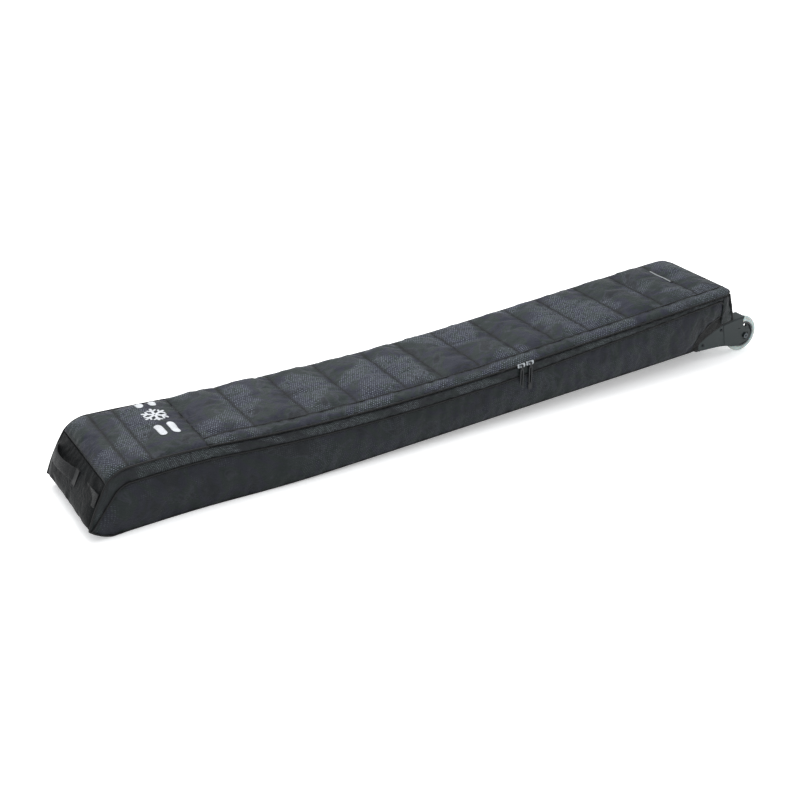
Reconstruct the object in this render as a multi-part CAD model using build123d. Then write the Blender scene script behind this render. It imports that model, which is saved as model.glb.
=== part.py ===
"""Wheeled ski bag: a long padded fabric tub whose quilted lid is hinged along the back edge and zipped
along the front, with two wheels under its tail end, a grab handle on each end and two zip sliders.

X runs from the head end to the wheels, Y from the zip side to the hinge side, Z up from the floor.
Shapes are drawn with X = 0 at the head end and moved to the middle of the length when they are written.
"""

import os
from math import asin, atan, cos, degrees, radians, sin, sqrt, tan

from build123d import *

# ---------------------------------------------------------------- driving dimensions, mm
LENGTH = 2096.0  # head end to the back of the wheels
WIDTH = 307.0
SKIN = 2.5  # outer fabric with its lining
FOAM = 5.0  # wall padding
FLOOR_PAD = 6.0  # floor padding, board included
BOARD = 2.0  # stiffener under the floor padding
BOARD_START = 1240.0
FLOOR_PAD_START = 90.0  # the end padding covers the rounded corner before it
PAD_END = 1812.0  # the padding stops where the wheel recess starts
CLEAR = 0.6  # lid above the tub
LID = 8.0  # quilted lid, lining included
LINING = 2.4

# the zip line: an arc where the bag sags, then a straight rise towards the wheels
ZIP_LOW_X, ZIP_LOW_Z = 756.0, 146.0
ZIP_RADIUS = 6914.0
ZIP_ARC_END = 1196.0
# the base: flat on the floor at the head end, then a straight rise on to the wheels
HEEL_X = 85.0  # the base rounds up into the head end here
BASE_FLAT_END = 365.0
BASE_RADIUS = 6000.0
BASE_SLOPE = 0.04

# the head end and the hood in side view: each named bend is the middle point of an arc
HEEL_BEND = (41.6, 9.4)
HEAD_FOOT = (4.0, 34.0)
HEAD_BEND = (24.0, 82.0)
HOOD_FRONT = (56.0, 139.0)
HOOD_BEND = (82.0, 160.0)
HOOD_TOP = (120.0, 168.0)
HOOD_BACK_BEND = (218.0, 166.5)
HOOD_STEP = 2.0  # hood above the zip line where it ends
CORNER_Z = 31.0  # the two front pipings meet at this height, above the rounded corner
SEAM_KNEE = [(13.0, CORNER_Z), (75.0, 105.0), (91.0, 119.0), (116.0, 126.5)]  # lower piping at the head

HOOD_END = 316.0  # fixed hood, where the zip starts
LID_START = 595.0  # quilted section that stays with the hood, up to here
LID_GAP = 1.0
TAIL_SEAM = 1862.0
SIDE_END = 1926.0
TAIL_X = 1961.0  # end wall
LID_END = 1967.0
TAIL_LEAN = 39.0  # how far the foot of the end wall stands behind its top
TAIL_FOOT = 118.0
TAIL_TOP = 214.0
CORNER = 35.0  # plan radius at the tail corners
FLAP = 40.0  # width of the strip that covers the zip
BACK_BEAD_LOW = 4.0  # piping of the lid's back edge, above the zip line
BACK_BEAD_HIGH = 7.6
GUSSET = 33.0  # height of the gusset band, zip line to lower piping
GUSSET_TAIL = 13.0
BEAD = 2.2  # piping stands this far out of the sides
ARCH_START = (1815.0, 45.0)  # cut-out over a wheel housing
ARCH_BEND = (1856.0, 110.0)
ARCH_TOP = 147.0
WELL_DEPTH = 8.0  # recessed fabric inside the arch
WELL_FLOOR = 58.5
STRAP_PLACES = (620.0, 1500.0)  # ski straps
SKI_STRAP_WIDTH = 25.0

WHEEL_RADIUS = 55.0
WHEEL_WIDTH = 24.0
AXLE_X = LENGTH - WHEEL_RADIUS
WHEEL_Y = 122.5
AXLE_RADIUS = 4.0
RUNNING = 0.05  # radial clearance of a turning fit
FORK = 30.0  # gap between the cheeks of a wheel housing
CHEEK = 5.0
BOSS = 24.0
BOSS_RECESS = 13.0  # groove round the axle head
HOUSING_STEP = 1.5  # raised rear half of a housing's outer face
SLOT_X = 2013.0  # moulded slot above the axle
SLOT_Z = 83.0
SLOT_LENGTH = 9.0
SCREW_PLACES = [(1876.0, 58.0), (1944.0, 92.0)]  # on a housing's outer face
RIM = 40.0  # outer radius of the hub
BEARING_RADIUS = 11.0
BEARING_WIDTH = 7.0

SLIDER_LEFT_X = 1209.0
SLIDER_RIGHT_X = 1237.0
STRAP_WIDTH = 34.0  # webbing of the head handle
TAIL_HANDLE_Z = 158.0
TAIL_HANDLE_WIDTH = 28.0

HALF = WIDTH / 2
PULL_Y = -HALF - 5.7  # the pin that each pull hangs from
PULL_Z = -0.5
PIN_RADIUS = 1.0
MID_X = LENGTH / 2
ZIP_CENTRE_Z = ZIP_LOW_Z + ZIP_RADIUS
ZIP_ANGLE = asin((ZIP_ARC_END - ZIP_LOW_X) / ZIP_RADIUS)
BASE_ANGLE = atan(BASE_SLOPE)
BASE_ARC_END = BASE_FLAT_END + BASE_RADIUS * sin(BASE_ANGLE)


# ---------------------------------------------------------------- the two long curves of the bag
def zip_height(x):
    """Height of the zip line at x."""
    if x <= ZIP_ARC_END:
        return ZIP_CENTRE_Z - sqrt(ZIP_RADIUS**2 - (x - ZIP_LOW_X) ** 2)
    return zip_height(ZIP_ARC_END) + (x - ZIP_ARC_END) * tan(ZIP_ANGLE)


def base_height(x):
    """Height of the underside of the tub at x."""
    if x <= BASE_FLAT_END:
        return 0.0
    if x <= BASE_ARC_END:
        return BASE_RADIUS - sqrt(BASE_RADIUS**2 - (x - BASE_FLAT_END) ** 2)
    return base_height(BASE_ARC_END) + (x - BASE_ARC_END) * BASE_SLOPE


def run(height, breaks, x0, x1, lift):
    """Edges along a long curve from x0 to x1, raised by lift: arcs up to the last break, then a line."""
    edges = []
    stops = [x0] + [b for b in breaks if x0 < b < x1] + [x1]
    for a, b in zip(stops, stops[1:]):
        points = [(x, height(x) + lift) for x in (a, (a + b) / 2, b)]
        straight = a >= breaks[-1] or b <= breaks[0] and height is base_height
        edges.append(Line(points[0], points[2]) if straight else ThreePointArc(*points))
    return edges


def zip_run(x0, x1, lift=0.0):
    return run(zip_height, [ZIP_ARC_END], x0, x1, lift)


def base_run(x0, x1, lift=0.0):
    return run(base_height, [BASE_FLAT_END, BASE_ARC_END], x0, x1, lift)


def closed(lower, upper):
    """Face between two runs of edges, both drawn from left to right."""
    left = Line(lower[0] @ 0, upper[0] @ 0)
    right = Line(lower[-1] @ 1, upper[-1] @ 1)
    return make_face(Wire(lower + [right] + upper + [left]))


def zip_strip(x0, x1, low, high):
    """Side-view strip that follows the zip line, from low to high above it."""
    return closed(zip_run(x0, x1, low), zip_run(x0, x1, high))


def polygon(*points):
    return make_face(Polyline(*points, close=True))


def window(x0, x1, z0, z1):
    return polygon((x0, z0), (x1, z0), (x1, z1), (x0, z1))


def across(face, y0, y1):
    """Extrude a side view from y0 to y1."""
    return Pos(0, y1, 0) * extrude(Plane.XZ * face, amount=y1 - y0)


def block(x0, x1, y0, y1, z0, z1):
    return Pos((x0 + x1) / 2, (y0 + y1) / 2, (z0 + z1) / 2) * Box(x1 - x0, y1 - y0, z1 - z0)


def both_sides(shape):
    """The same piece on the front and on the back."""
    return [shape, mirror(shape, about=Plane.XZ)]


# ---------------------------------------------------------------- side views
def lower_piping_run(lift=0.0):
    """The seam between the front gusset and the front side panel, from the head end to the tail."""
    knee = [(x, z + lift) for x, z in SEAM_KNEE]
    level = ZIP_LOW_Z - GUSSET + lift
    start = (HOOD_END, zip_height(HOOD_END) - GUSSET + lift)
    tail = (SIDE_END, zip_height(SIDE_END) - GUSSET_TAIL + lift)
    bend = (ZIP_ARC_END, zip_height(ZIP_ARC_END) - GUSSET + lift)
    return [
        Line(knee[0], knee[1]),
        ThreePointArc(*knee[1:]),
        Line(knee[3], start),
        ThreePointArc(start, (ZIP_LOW_X, level), bend),
        Line(bend, tail),
    ]


def silhouette(end=SIDE_END, inset=0.0):
    """Side view of the tub with its hood, drawn in by inset."""
    head = [
        ThreePointArc((HEEL_X, 0), HEEL_BEND, HEAD_FOOT),
        ThreePointArc(HEAD_FOOT, HEAD_BEND, HOOD_FRONT),
        ThreePointArc(HOOD_FRONT, HOOD_BEND, HOOD_TOP),
        ThreePointArc(HOOD_TOP, HOOD_BACK_BEND, (HOOD_END, zip_height(HOOD_END) + HOOD_STEP)),
    ]
    drop = Line(head[-1] @ 1, (HOOD_END, zip_height(HOOD_END)))
    end_line = Line((end, base_height(end)), (end, zip_height(end)))
    outline = Wire(base_run(HEEL_X, end) + [end_line] + zip_run(HOOD_END, end) + [drop] + head)
    face = make_face(outline)
    return offset(face, -inset, kind=Kind.INTERSECTION) if inset else face


def head_view():
    """Everything of a side view in front of the hood's end and above the bottom corner."""
    low, high = 100, 200
    front = [(-20, CORNER_Z), (75, CORNER_Z), (116, low)]
    return polygon(*front, (HOOD_END, low), (HOOD_END, high), (-20, high))


def arch():
    """The cut-out over a wheel housing, open towards the tail and the floor."""
    behind, below = 2010, 20
    curve = ThreePointArc(ARCH_START, ARCH_BEND, (SIDE_END, ARCH_TOP))
    corners = [(SIDE_END, ARCH_TOP), (behind, ARCH_TOP), (behind, below), (ARCH_START[0], below)]
    rest = Polyline(*corners, ARCH_START)
    return make_face(Wire([curve, *rest.edges()]))


def boss_point(turn):
    """A point on the rim of the round boss about the axle, turned up from the tail by some degrees."""
    return (AXLE_X + BOSS * cos(radians(turn)), WHEEL_RADIUS + BOSS * sin(radians(turn)))


def housing_view():
    """Side view of a wheel housing: a wedge under the tail with a round boss on the axle."""
    below = Line((1854, 42), (1928, 39))
    dip = ThreePointArc((1928, 39), (1966, 35), (1996, 27))
    belly = ThreePointArc((1996, 27), (2020, 25), boss_point(-68))
    boss = ThreePointArc(boss_point(-68), boss_point(0), boss_point(78))
    notch = ThreePointArc(boss_point(78), (2032, 92), (2034, 117))
    crown = ThreePointArc((2034, 117), (1994, 115.5), (1953, 110))
    shoulder = ThreePointArc((1953, 110), (1903, 91), (1858, 67))
    return make_face(Wire([below, dip, belly, boss, notch, crown, shoulder, Line(shoulder @ 1, below @ 0)]))


# ---------------------------------------------------------------- fabric of the tub
def bottom_panel():
    shell = silhouette() - silhouette(inset=SKIN)
    under = polygon((HEEL_X, -5), (1850, -5), (1850, 90), (600, 60), (HEEL_X, 40))
    return across(shell & under, -HALF + SKIN, HALF - SKIN)


def head_end_panel():
    """End wall of the head, with the rounded corner below it."""
    shell = silhouette() - silhouette(inset=SKIN)
    return across(shell & window(-5, HEEL_X, -5, HOOD_FRONT[1]), -HALF + SKIN, HALF - SKIN)


def hood_panel():
    shell = silhouette() - silhouette(inset=SKIN)
    return across(shell & window(-5, HOOD_END, HOOD_FRONT[1], 200), -HALF + SKIN, HALF - SKIN)


def below_lower_piping():
    seam = lower_piping_run()
    border = Polyline(seam[-1] @ 1, (SIDE_END, -5), (0, -5), (0, CORNER_Z), SEAM_KNEE[0])
    return make_face(Wire(seam + border.edges()))


def front_side_panel():
    view = (silhouette() & below_lower_piping()) - arch()
    return across(view, -HALF, -HALF + SKIN)


def front_gusset():
    """Band between the lower piping and the zip, widest at the hood."""
    above = polygon((0, CORNER_Z), SEAM_KNEE[0], (SIDE_END, 100), (SIDE_END, 220), (0, 220))
    top = silhouette() & above
    zip_slot = zip_strip(HOOD_END, SIDE_END, -5, 6)
    return across(top - below_lower_piping() - zip_slot, -HALF, -HALF + SKIN)


def back_side_panel():
    return across(silhouette() - arch(), HALF - SKIN, HALF)


def tail_plan(inward, length=250.0):
    """Plan view of the tail with its two rounded corners, drawn in by inward."""
    size = (length - inward, WIDTH - 2 * inward)
    whole = Pos(TAIL_X - length / 2 - inward / 2, 0) * RectangleRounded(*size, CORNER - inward)
    return whole & (Pos(TAIL_X - CORNER / 2, 0) * Rectangle(CORNER, WIDTH))


def tail_ring(inset, depth):
    """Plan-view band round the tail end, from inset to inset + depth inside its outline."""
    return tail_plan(inset) - tail_plan(inset + depth)


def tail_block(inward):
    """The tail with its end wall leaning out towards the foot, drawn in by inward."""
    length = 250.0
    foot = Pos(TAIL_X + (TAIL_LEAN - inward - length) / 2, 0, TAIL_FOOT) * RectangleRounded(
        length + TAIL_LEAN - inward, WIDTH - 2 * inward, CORNER - inward
    )
    top = Pos(TAIL_X - (length + inward) / 2, 0, TAIL_TOP) * RectangleRounded(
        length - inward, WIDTH - 2 * inward, CORNER - inward
    )
    return loft([foot, top], ruled=True) & block(SIDE_END, TAIL_X + 60, -HALF, HALF, 0, 300)


def tail_end_panel():
    wall = tail_block(0) - tail_block(SKIN)
    zip_edge = zip_height(TAIL_X + TAIL_LEAN) + 20
    cover = Line((SIDE_END - 5, zip_edge), (TAIL_X + 60, zip_edge))
    above_zip = closed(zip_run(SIDE_END - 5, TAIL_X + 60, -5), [cover])
    return wall - across(above_zip, -HALF - 5, HALF + 5)


def wheel_well_panel():
    """Recessed fabric between the arch and the wheel housing."""
    view = (silhouette() & arch()) - offset(housing_view(), 1.0) - window(1800, 2010, 0, WELL_FLOOR)
    return across(view, -HALF + WELL_DEPTH, -HALF + WELL_DEPTH + SKIN)


def arch_binding():
    """Bound edge of the arch, turned in to meet the recessed fabric."""
    band = (silhouette() & offset(arch(), SKIN)) - arch() - window(1700, 2010, 0, WELL_FLOOR)
    return across(band, -HALF + SKIN, -HALF + WELL_DEPTH + SKIN)


def bead(view, side):
    """Piping stands proud of the front (-1) or back (1) of the tub."""
    y0, y1 = sorted((side * HALF, side * (HALF + BEAD)))
    return across(view, y0, y1)


def lower_piping():
    return bead(closed(lower_piping_run(-2), lower_piping_run(2)), -1)


def head_piping(side):
    """Piping round the head end and the hood, and on along the fixed quilted section."""
    rim = (silhouette() - silhouette(inset=4)) & head_view()
    fixed = zip_strip(HOOD_END, LID_START - LID_GAP, BACK_BEAD_LOW, BACK_BEAD_HIGH)
    return bead(rim, side) if side < 0 else bead(rim, side) + bead(fixed, side)


# ---------------------------------------------------------------- padding inside the tub
def floor_foam():
    ring = silhouette(inset=SKIN) - silhouette(inset=SKIN + FLOOR_PAD)
    under = polygon((FLOOR_PAD_START, -5), (PAD_END, -5), (PAD_END, 90), (600, 60), (FLOOR_PAD_START, 32))
    return across((ring & under) - board_view(), -HALF + SKIN, HALF - SKIN)


def board_view():
    return closed(base_run(BOARD_START, PAD_END, SKIN + 0.02), base_run(BOARD_START, PAD_END, SKIN + BOARD))


def base_board():
    return across(board_view(), -HALF + SKIN, HALF - SKIN)


def wall_foam():
    inner = silhouette(inset=SKIN + FLOOR_PAD)
    low = closed([Line((50, 0), (PAD_END, 0))], zip_run(50, PAD_END, -26))
    return across(inner & low, -HALF + SKIN, -HALF + SKIN + FOAM)


def head_end_foam():
    ring = silhouette(inset=SKIN) - silhouette(inset=SKIN + FLOOR_PAD)
    head = window(0, FLOOR_PAD_START - 0.5, 0, 32) + window(0, 80, 32, 130)
    return across(ring & head, -HALF + SKIN + FOAM, HALF - SKIN - FOAM)


def ski_strap(x):
    """Webbing strap that lies across the floor padding, for tying the skis down."""
    floor = base_height(x) + SKIN + FLOOR_PAD
    side = HALF - SKIN - FOAM
    reach = SKI_STRAP_WIDTH / 2
    return block(x - reach, x + reach, -side, side, floor + 0.7, floor + 2.3)


def strap_buckle(x):
    """Ladder-lock buckle on a ski strap."""
    floor = base_height(x) + SKIN + FLOOR_PAD + 2.3
    frame = block(x - 17, x + 17, -20, 20, floor, floor + 5)
    for y in (-11, 0, 11):
        frame -= block(x - 13, x + 13, y - 3, y + 3, floor - 1, floor + 6)
    return frame


# ---------------------------------------------------------------- zip
def zip_row(x0, x1, low, high, y0=-HALF + 0.3, depth=2.8):
    return across(zip_strip(x0, x1, low, high), y0, y0 + depth)


def zip_tail_row(low, high):
    """A row of the zip round the tail end."""
    ring = Pos(0, 0, 150) * extrude(tail_ring(0.3, 2.8), amount=80)
    return ring & across(zip_strip(SIDE_END, TAIL_X + 5, low, high), -HALF - 5, HALF + 5)


def zip_coil_lower():
    return zip_row(HOOD_END, SIDE_END, -4.5, -0.7) + zip_tail_row(-4.5, -0.7)


def zip_coil_upper():
    return zip_row(LID_START, SIDE_END, 0.7, 4.4) + zip_tail_row(0.7, 4.4)


def zip_coil_fixed():
    return zip_row(HOOD_END, LID_START - LID_GAP, 0.7, 4.4)


def zip_tape(x0, x1, low, high):
    return across(zip_strip(x0, x1, low, high), -HALF + 3.1, -HALF + 3.9)


def slider(x):
    """Zip slider: a plate each side of the zip, joined by a fin, with a pin for its pull."""
    front = block(-12, 12, -HALF - 2.7, -HALF - 0.2, -5.5, 5.5)
    front = fillet(front.edges().filter_by(Axis.Y), 3.5)
    back = block(-12, 12, -HALF + 4.3, -HALF + 5.5, -4.2, 4.2)
    fin = block(-6, 6, -HALF - 0.2, -HALF + 4.3, -0.35, 0.35)
    eyelet = Pos(0, PULL_Y, PULL_Z) * Rot(0, 90, 0) * Cylinder(PIN_RADIUS, 9)
    for side in (-1, 1):
        eyelet += block(side * 4.5 - 1, side * 4.5 + 1, -HALF - 7.8, -HALF - 2.5, -3, 2)
    slope = min(asin((x - ZIP_LOW_X) / ZIP_RADIUS), ZIP_ANGLE)
    return Pos(x, 0, zip_height(x)) * (Rot(0, -degrees(slope), 0) * (front + back + fin) + eyelet)


def pull(x):
    """Moulded pull: an eye round the slider's pin, two strands and a solid tip."""
    eye = Rot(0, 90, 0) * (Cylinder(2.5, 6) - Cylinder(PIN_RADIUS + RUNNING, 6))
    neck = block(-3, 3, -1.6, 1.6, -8, -1.8) - Rot(0, 90, 0) * Cylinder(1.8, 6)
    strands = block(-5.5, 5.5, -1.8, 1.8, -58, -8) - block(-2, 2, -3, 3, -56, -12)
    tip = block(-6, 6, -2.2, 2.2, -76, -58)
    tip = fillet(tip.edges().filter_by(Axis.Y), 4)
    return Pos(x, PULL_Y, zip_height(x) + PULL_Z) * (eye + neck + strands + tip)


# ---------------------------------------------------------------- lid
def lid_plan(x0, x1):
    """The lid's plan between x0 and x1, with the tail corners rounded."""
    plan = Pos((x0 + x1) / 2, 0) * Rectangle(x1 - x0, WIDTH)
    if x1 == LID_END:
        plan = fillet(plan.vertices().group_by(Axis.X)[-1], CORNER)
    return plan


def fixed_top_section():
    view = zip_strip(HOOD_END, LID_START - LID_GAP, CLEAR, CLEAR + LID)
    ledge = across(zip_strip(HOOD_END, LID_START - LID_GAP, -1, 4.6), -HALF - 1, -HALF + 6)
    return across(view, -HALF, HALF) - ledge


def lid_panel():
    view = zip_strip(LID_START, TAIL_SEAM, CLEAR + LINING, CLEAR + LID)
    return across(view, -HALF + FLAP, HALF)


def lid_lining():
    view = zip_strip(LID_START, TAIL_SEAM, CLEAR, CLEAR + LINING)
    return across(view, -HALF + FLAP, HALF)


def lid_flap():
    """Strip between the quilted panel and the zip, which covers the zip."""
    view = zip_strip(LID_START, TAIL_SEAM, 4.6, CLEAR + LID)
    inner = zip_strip(LID_START, TAIL_SEAM, CLEAR, 4.6)
    return across(view, -HALF, -HALF + FLAP) + across(inner, -HALF + 6, -HALF + FLAP)


def lid_tail_section():
    view = zip_strip(TAIL_SEAM, LID_END, CLEAR, CLEAR + LID)
    slab = across(view, -HALF, HALF) & (Pos(0, 0, 100) * extrude(lid_plan(TAIL_SEAM, LID_END), amount=200))
    rim = across(zip_strip(TAIL_SEAM - 1, LID_END + 9, -1, 4.6), -HALF - 5, HALF + 5)
    core = Pos(0, 0, 100) * extrude(
        Pos(TAIL_X - 106, 0) * RectangleRounded(200, WIDTH - 12, CORNER - 6),
        amount=200,
    )
    return slab - (rim - core)


def lid_back_piping():
    return bead(zip_strip(LID_START, SIDE_END, BACK_BEAD_LOW, BACK_BEAD_HIGH), 1)


def label_tab():
    """Plain woven tab sewn into the tail seam."""
    view = zip_strip(TAIL_SEAM - 13, TAIL_SEAM - 1, CLEAR + LID, CLEAR + LID + 1)
    return across(view, -7, 85)


# ---------------------------------------------------------------- handles
def on_head_face(plan, width=STRAP_WIDTH):
    """Extrude a plan drawn as (distance out of the end face, -Y) up the slope of the face."""
    face = Plane(origin=(34.5, 0, 100), x_dir=(-0.9, 0, 0.436), z_dir=(0.436, 0, 0.9))
    return face * (Pos(0, 0, -width / 2) * extrude(plan, amount=width))


def head_handle_sleeve():
    """Padded grip that bows away from the end face."""
    inner = ThreePointArc((2.0, -138), (24, -72), (3.5, 14))
    outer = ThreePointArc((4.5, -142), (30, -72), (8.5, 14))
    ends = [Line(inner @ 1, outer @ 1), Line(outer @ 0, inner @ 0)]
    return on_head_face(make_face(Wire([inner, ends[0], outer, ends[1]])))


def handle_keeper():
    """Moulded keeper where the grip meets the flat webbing."""
    keeper = Pos(6.8, 24) * Rectangle(9.5, 19.6)
    return on_head_face(keeper, STRAP_WIDTH + 6)


def head_handle_strap():
    """Webbing stitched flat on the end face, from the keeper to the front corner."""
    return on_head_face(Pos(3.2, 92.2) * Rectangle(2.4, 115.6))


def tail_handle():
    """Webbing grab loop on the end wall, above the wheels."""
    lean = TAIL_LEAN / (TAIL_TOP - TAIL_FOOT)
    wall_x = TAIL_X + lean * (TAIL_TOP - TAIL_HANDLE_Z)
    face = Plane(origin=(wall_x, 0, TAIL_HANDLE_Z), x_dir=(1, 0, lean), z_dir=(-lean, 0, 1))
    inner = ThreePointArc((0.2, -75), (22, 0), (0.2, 75))
    outer = ThreePointArc((0.2, -82), (26, 0), (0.2, 82))
    ends = [Line(inner @ 1, outer @ 1), Line(outer @ 0, inner @ 0)]
    band = make_face(Wire([inner, ends[0], outer, ends[1]]))
    return face * (Pos(0, 0, -TAIL_HANDLE_WIDTH / 2) * extrude(band, amount=TAIL_HANDLE_WIDTH))


# ---------------------------------------------------------------- wheel housings and tail tray
def softened(view, y0, y1, soft):
    """Extrude a side view from y0 to y1, with its edges sloped off on the side of y0."""
    rim = extrude(Plane.XZ * view, amount=soft, taper=40)
    return across(view, y0 + soft, y1) + Pos(0, y0 + soft, 0) * rim


def wheel_housing():
    """Moulded housing: two cheeks that hold the axle, joined by a web in front of and above the wheel."""
    outer_y = -WHEEL_Y - FORK / 2
    inner_y = -WHEEL_Y + FORK / 2
    face_y = outer_y - CHEEK
    view = housing_view()
    axle = Pos(AXLE_X, WHEEL_RADIUS)
    wheel_well = axle * Circle(WHEEL_RADIUS + 3)
    web = (view & window(1800, 2036, 0, 200)) - wheel_well
    pocket = offset(view & window(1800, 1990, 0, 200), -4.5) - axle * Circle(WHEEL_RADIUS + 8)
    step = offset(view, -3.0) & polygon((1944, 125), (1968, 10), (2080, 10), (2080, 125))
    slot = Pos(SLOT_X, SLOT_Z) * SlotOverall(SLOT_LENGTH, 2.4)

    body = softened(view, face_y, outer_y, 2.0) + across(view, inner_y, inner_y + CHEEK)
    body += across(web, outer_y, inner_y)
    body += softened(step, face_y - HOUSING_STEP, face_y, 1.4)
    body -= across(pocket, outer_y + 1, inner_y + CHEEK + 1)
    body -= across(axle * Circle(BOSS_RECESS) - axle * Circle(9), face_y - HOUSING_STEP - 1, face_y)
    body -= across(slot, face_y - HOUSING_STEP - 1, face_y - HOUSING_STEP + 1.0)
    return body - axle_hole() - screw_cores(0.0)


def axle_hole():
    return Pos(AXLE_X, -WHEEL_Y, WHEEL_RADIUS) * Rot(90, 0, 0) * Cylinder(AXLE_RADIUS, 80)


def screw_cores(extra):
    """Shanks of the housing screws, through the outer cheek."""
    shanks = [
        Pos(x, -WHEEL_Y - FORK / 2 - CHEEK / 2, z) * Rot(90, 0, 0) * Cylinder(2.0 + extra, CHEEK + 4)
        for x, z in SCREW_PLACES
    ]
    return shanks[0] + shanks[1]


def housing_screws():
    """Pan-head screws with a cross slot."""
    face_y = -WHEEL_Y - FORK / 2 - CHEEK
    screws = screw_cores(0.0) & across(window(1800, 2000, 0, 200), face_y, face_y + 8)
    for x, z in SCREW_PLACES:
        head = Pos(x, face_y - 1.2, z) * Rot(90, 0, 0) * Cylinder(4.2, 2.4)
        for turn in (0, 90):
            head -= Pos(x, face_y - 2.4, z) * Rot(0, turn, 0) * Box(5.5, 2.2, 1.0)
        screws += head
    return screws


def tail_tray():
    """Moulded tray that joins the two housings, with an upturned end."""
    outer = FilletPolyline((1851, 41), (1966, 41), (1999, 117.5), radius=14)
    inner = FilletPolyline((1851, 45), (1963.4, 45), (1994.7, 117.5), radius=10)
    edges = [*outer.edges(), Line(outer @ 1, inner @ 1), *inner.edges(), Line(inner @ 0, outer @ 0)]
    width = WHEEL_Y - FORK / 2 - CHEEK
    return across(make_face(Wire(edges)), -width, width)


# ---------------------------------------------------------------- wheels
def turned(profile):
    """Revolve a profile drawn as (radius, along the axle) and put it on the front axle."""
    return Pos(AXLE_X, -WHEEL_Y, WHEEL_RADIUS) * revolve(profile, Axis.Y)


def tyre():
    """Cast tread, crowned across its width."""
    side = WHEEL_WIDTH / 2
    crown = ThreePointArc((48, -side), (WHEEL_RADIUS, 0), (48, side))
    seat = [(RIM + 2, side), (RIM, side - 2), (RIM, 2 - side), (RIM + 2, -side)]
    body = Polyline((48, side), *seat, (48, -side))
    return turned(make_face(Wire([crown, *body.edges()])))


def hub():
    """Moulded core: rim, web with six windows, and a barrel with two bearing seats."""
    side = WHEEL_WIDTH / 2
    rim = Pos(RIM - 2, 0) * Rectangle(4, 2 * side - 4)
    web = Pos((RIM + BEARING_RADIUS) / 2, 0) * Rectangle(RIM - BEARING_RADIUS - 2, 8)
    barrel = Pos(BEARING_RADIUS + 2, 0) * Rectangle(4, 2 * side)
    shoulder = Pos(BEARING_RADIUS - 1, 0) * Rectangle(2, 2 * (side - BEARING_WIDTH))
    core = turned(rim + web + barrel + shoulder)
    for i in range(6):
        spot = Location((AXLE_X, -WHEEL_Y, WHEEL_RADIUS)) * Rot(0, 60 * i, 0) * Pos(25.5, 0, 0)
        core -= spot * Rot(90, 0, 0) * Cylinder(7.5, 20)
    return core


def bearings():
    """Two sealed bearings, pressed into the hub from both sides."""
    pair = None
    for side in (-1, 1):
        y = side * (WHEEL_WIDTH / 2 - BEARING_WIDTH / 2)
        bore = AXLE_RADIUS + RUNNING
        ring = Pos((BEARING_RADIUS + bore) / 2, y) * Rectangle(BEARING_RADIUS - bore, BEARING_WIDTH)
        groove = Pos(7.6, side * WHEEL_WIDTH / 2) * Rectangle(3.2, 0.8)
        solid = turned(ring - groove)
        pair = solid if pair is None else pair + solid
    return pair


def axle_spacers():
    """Sleeve between the bearings and a washer outside each one, all still on the axle."""
    middle = WHEEL_WIDTH / 2 - BEARING_WIDTH - 0.2
    outside = (FORK - WHEEL_WIDTH) / 2 - 0.2
    sleeve = Pos(5.2, 0) * Rectangle(2.4, 2 * middle)
    solids = turned(sleeve)
    for side in (-1, 1):
        washer = Pos(5.4, side * (FORK / 2 - outside / 2)) * Rectangle(2.8, outside)
        solids += turned(washer)
    return solids


def axle_bolt():
    """Socket-head axle through both cheeks."""
    head_y = -FORK / 2 - CHEEK - 1.5
    shaft = Rectangle(AXLE_RADIUS, FORK + 2 * CHEEK + 9.5, align=(Align.MIN, Align.MIN))
    shaft = Pos(0, head_y) * shaft
    head = Pos(0, head_y - 4.5) * Rectangle(8, 4.5, align=(Align.MIN, Align.MIN))
    bolt = turned(shaft + head)
    key = extrude(RegularPolygon(3, 6), 2.5, both=True)
    socket = Pos(AXLE_X, head_y - 4.5 - WHEEL_Y, WHEEL_RADIUS) * Rot(90, 0, 0) * key
    return bolt - socket


def axle_nut():
    """Nut against the inner cheek."""
    nut_y = -WHEEL_Y + FORK / 2 + CHEEK
    body = extrude(RegularPolygon(7.2, 6), amount=6.5)
    hexagon = Pos(AXLE_X, nut_y + 6.5, WHEEL_RADIUS) * Rot(90, 0, 0) * body
    return hexagon - axle_hole()


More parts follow.
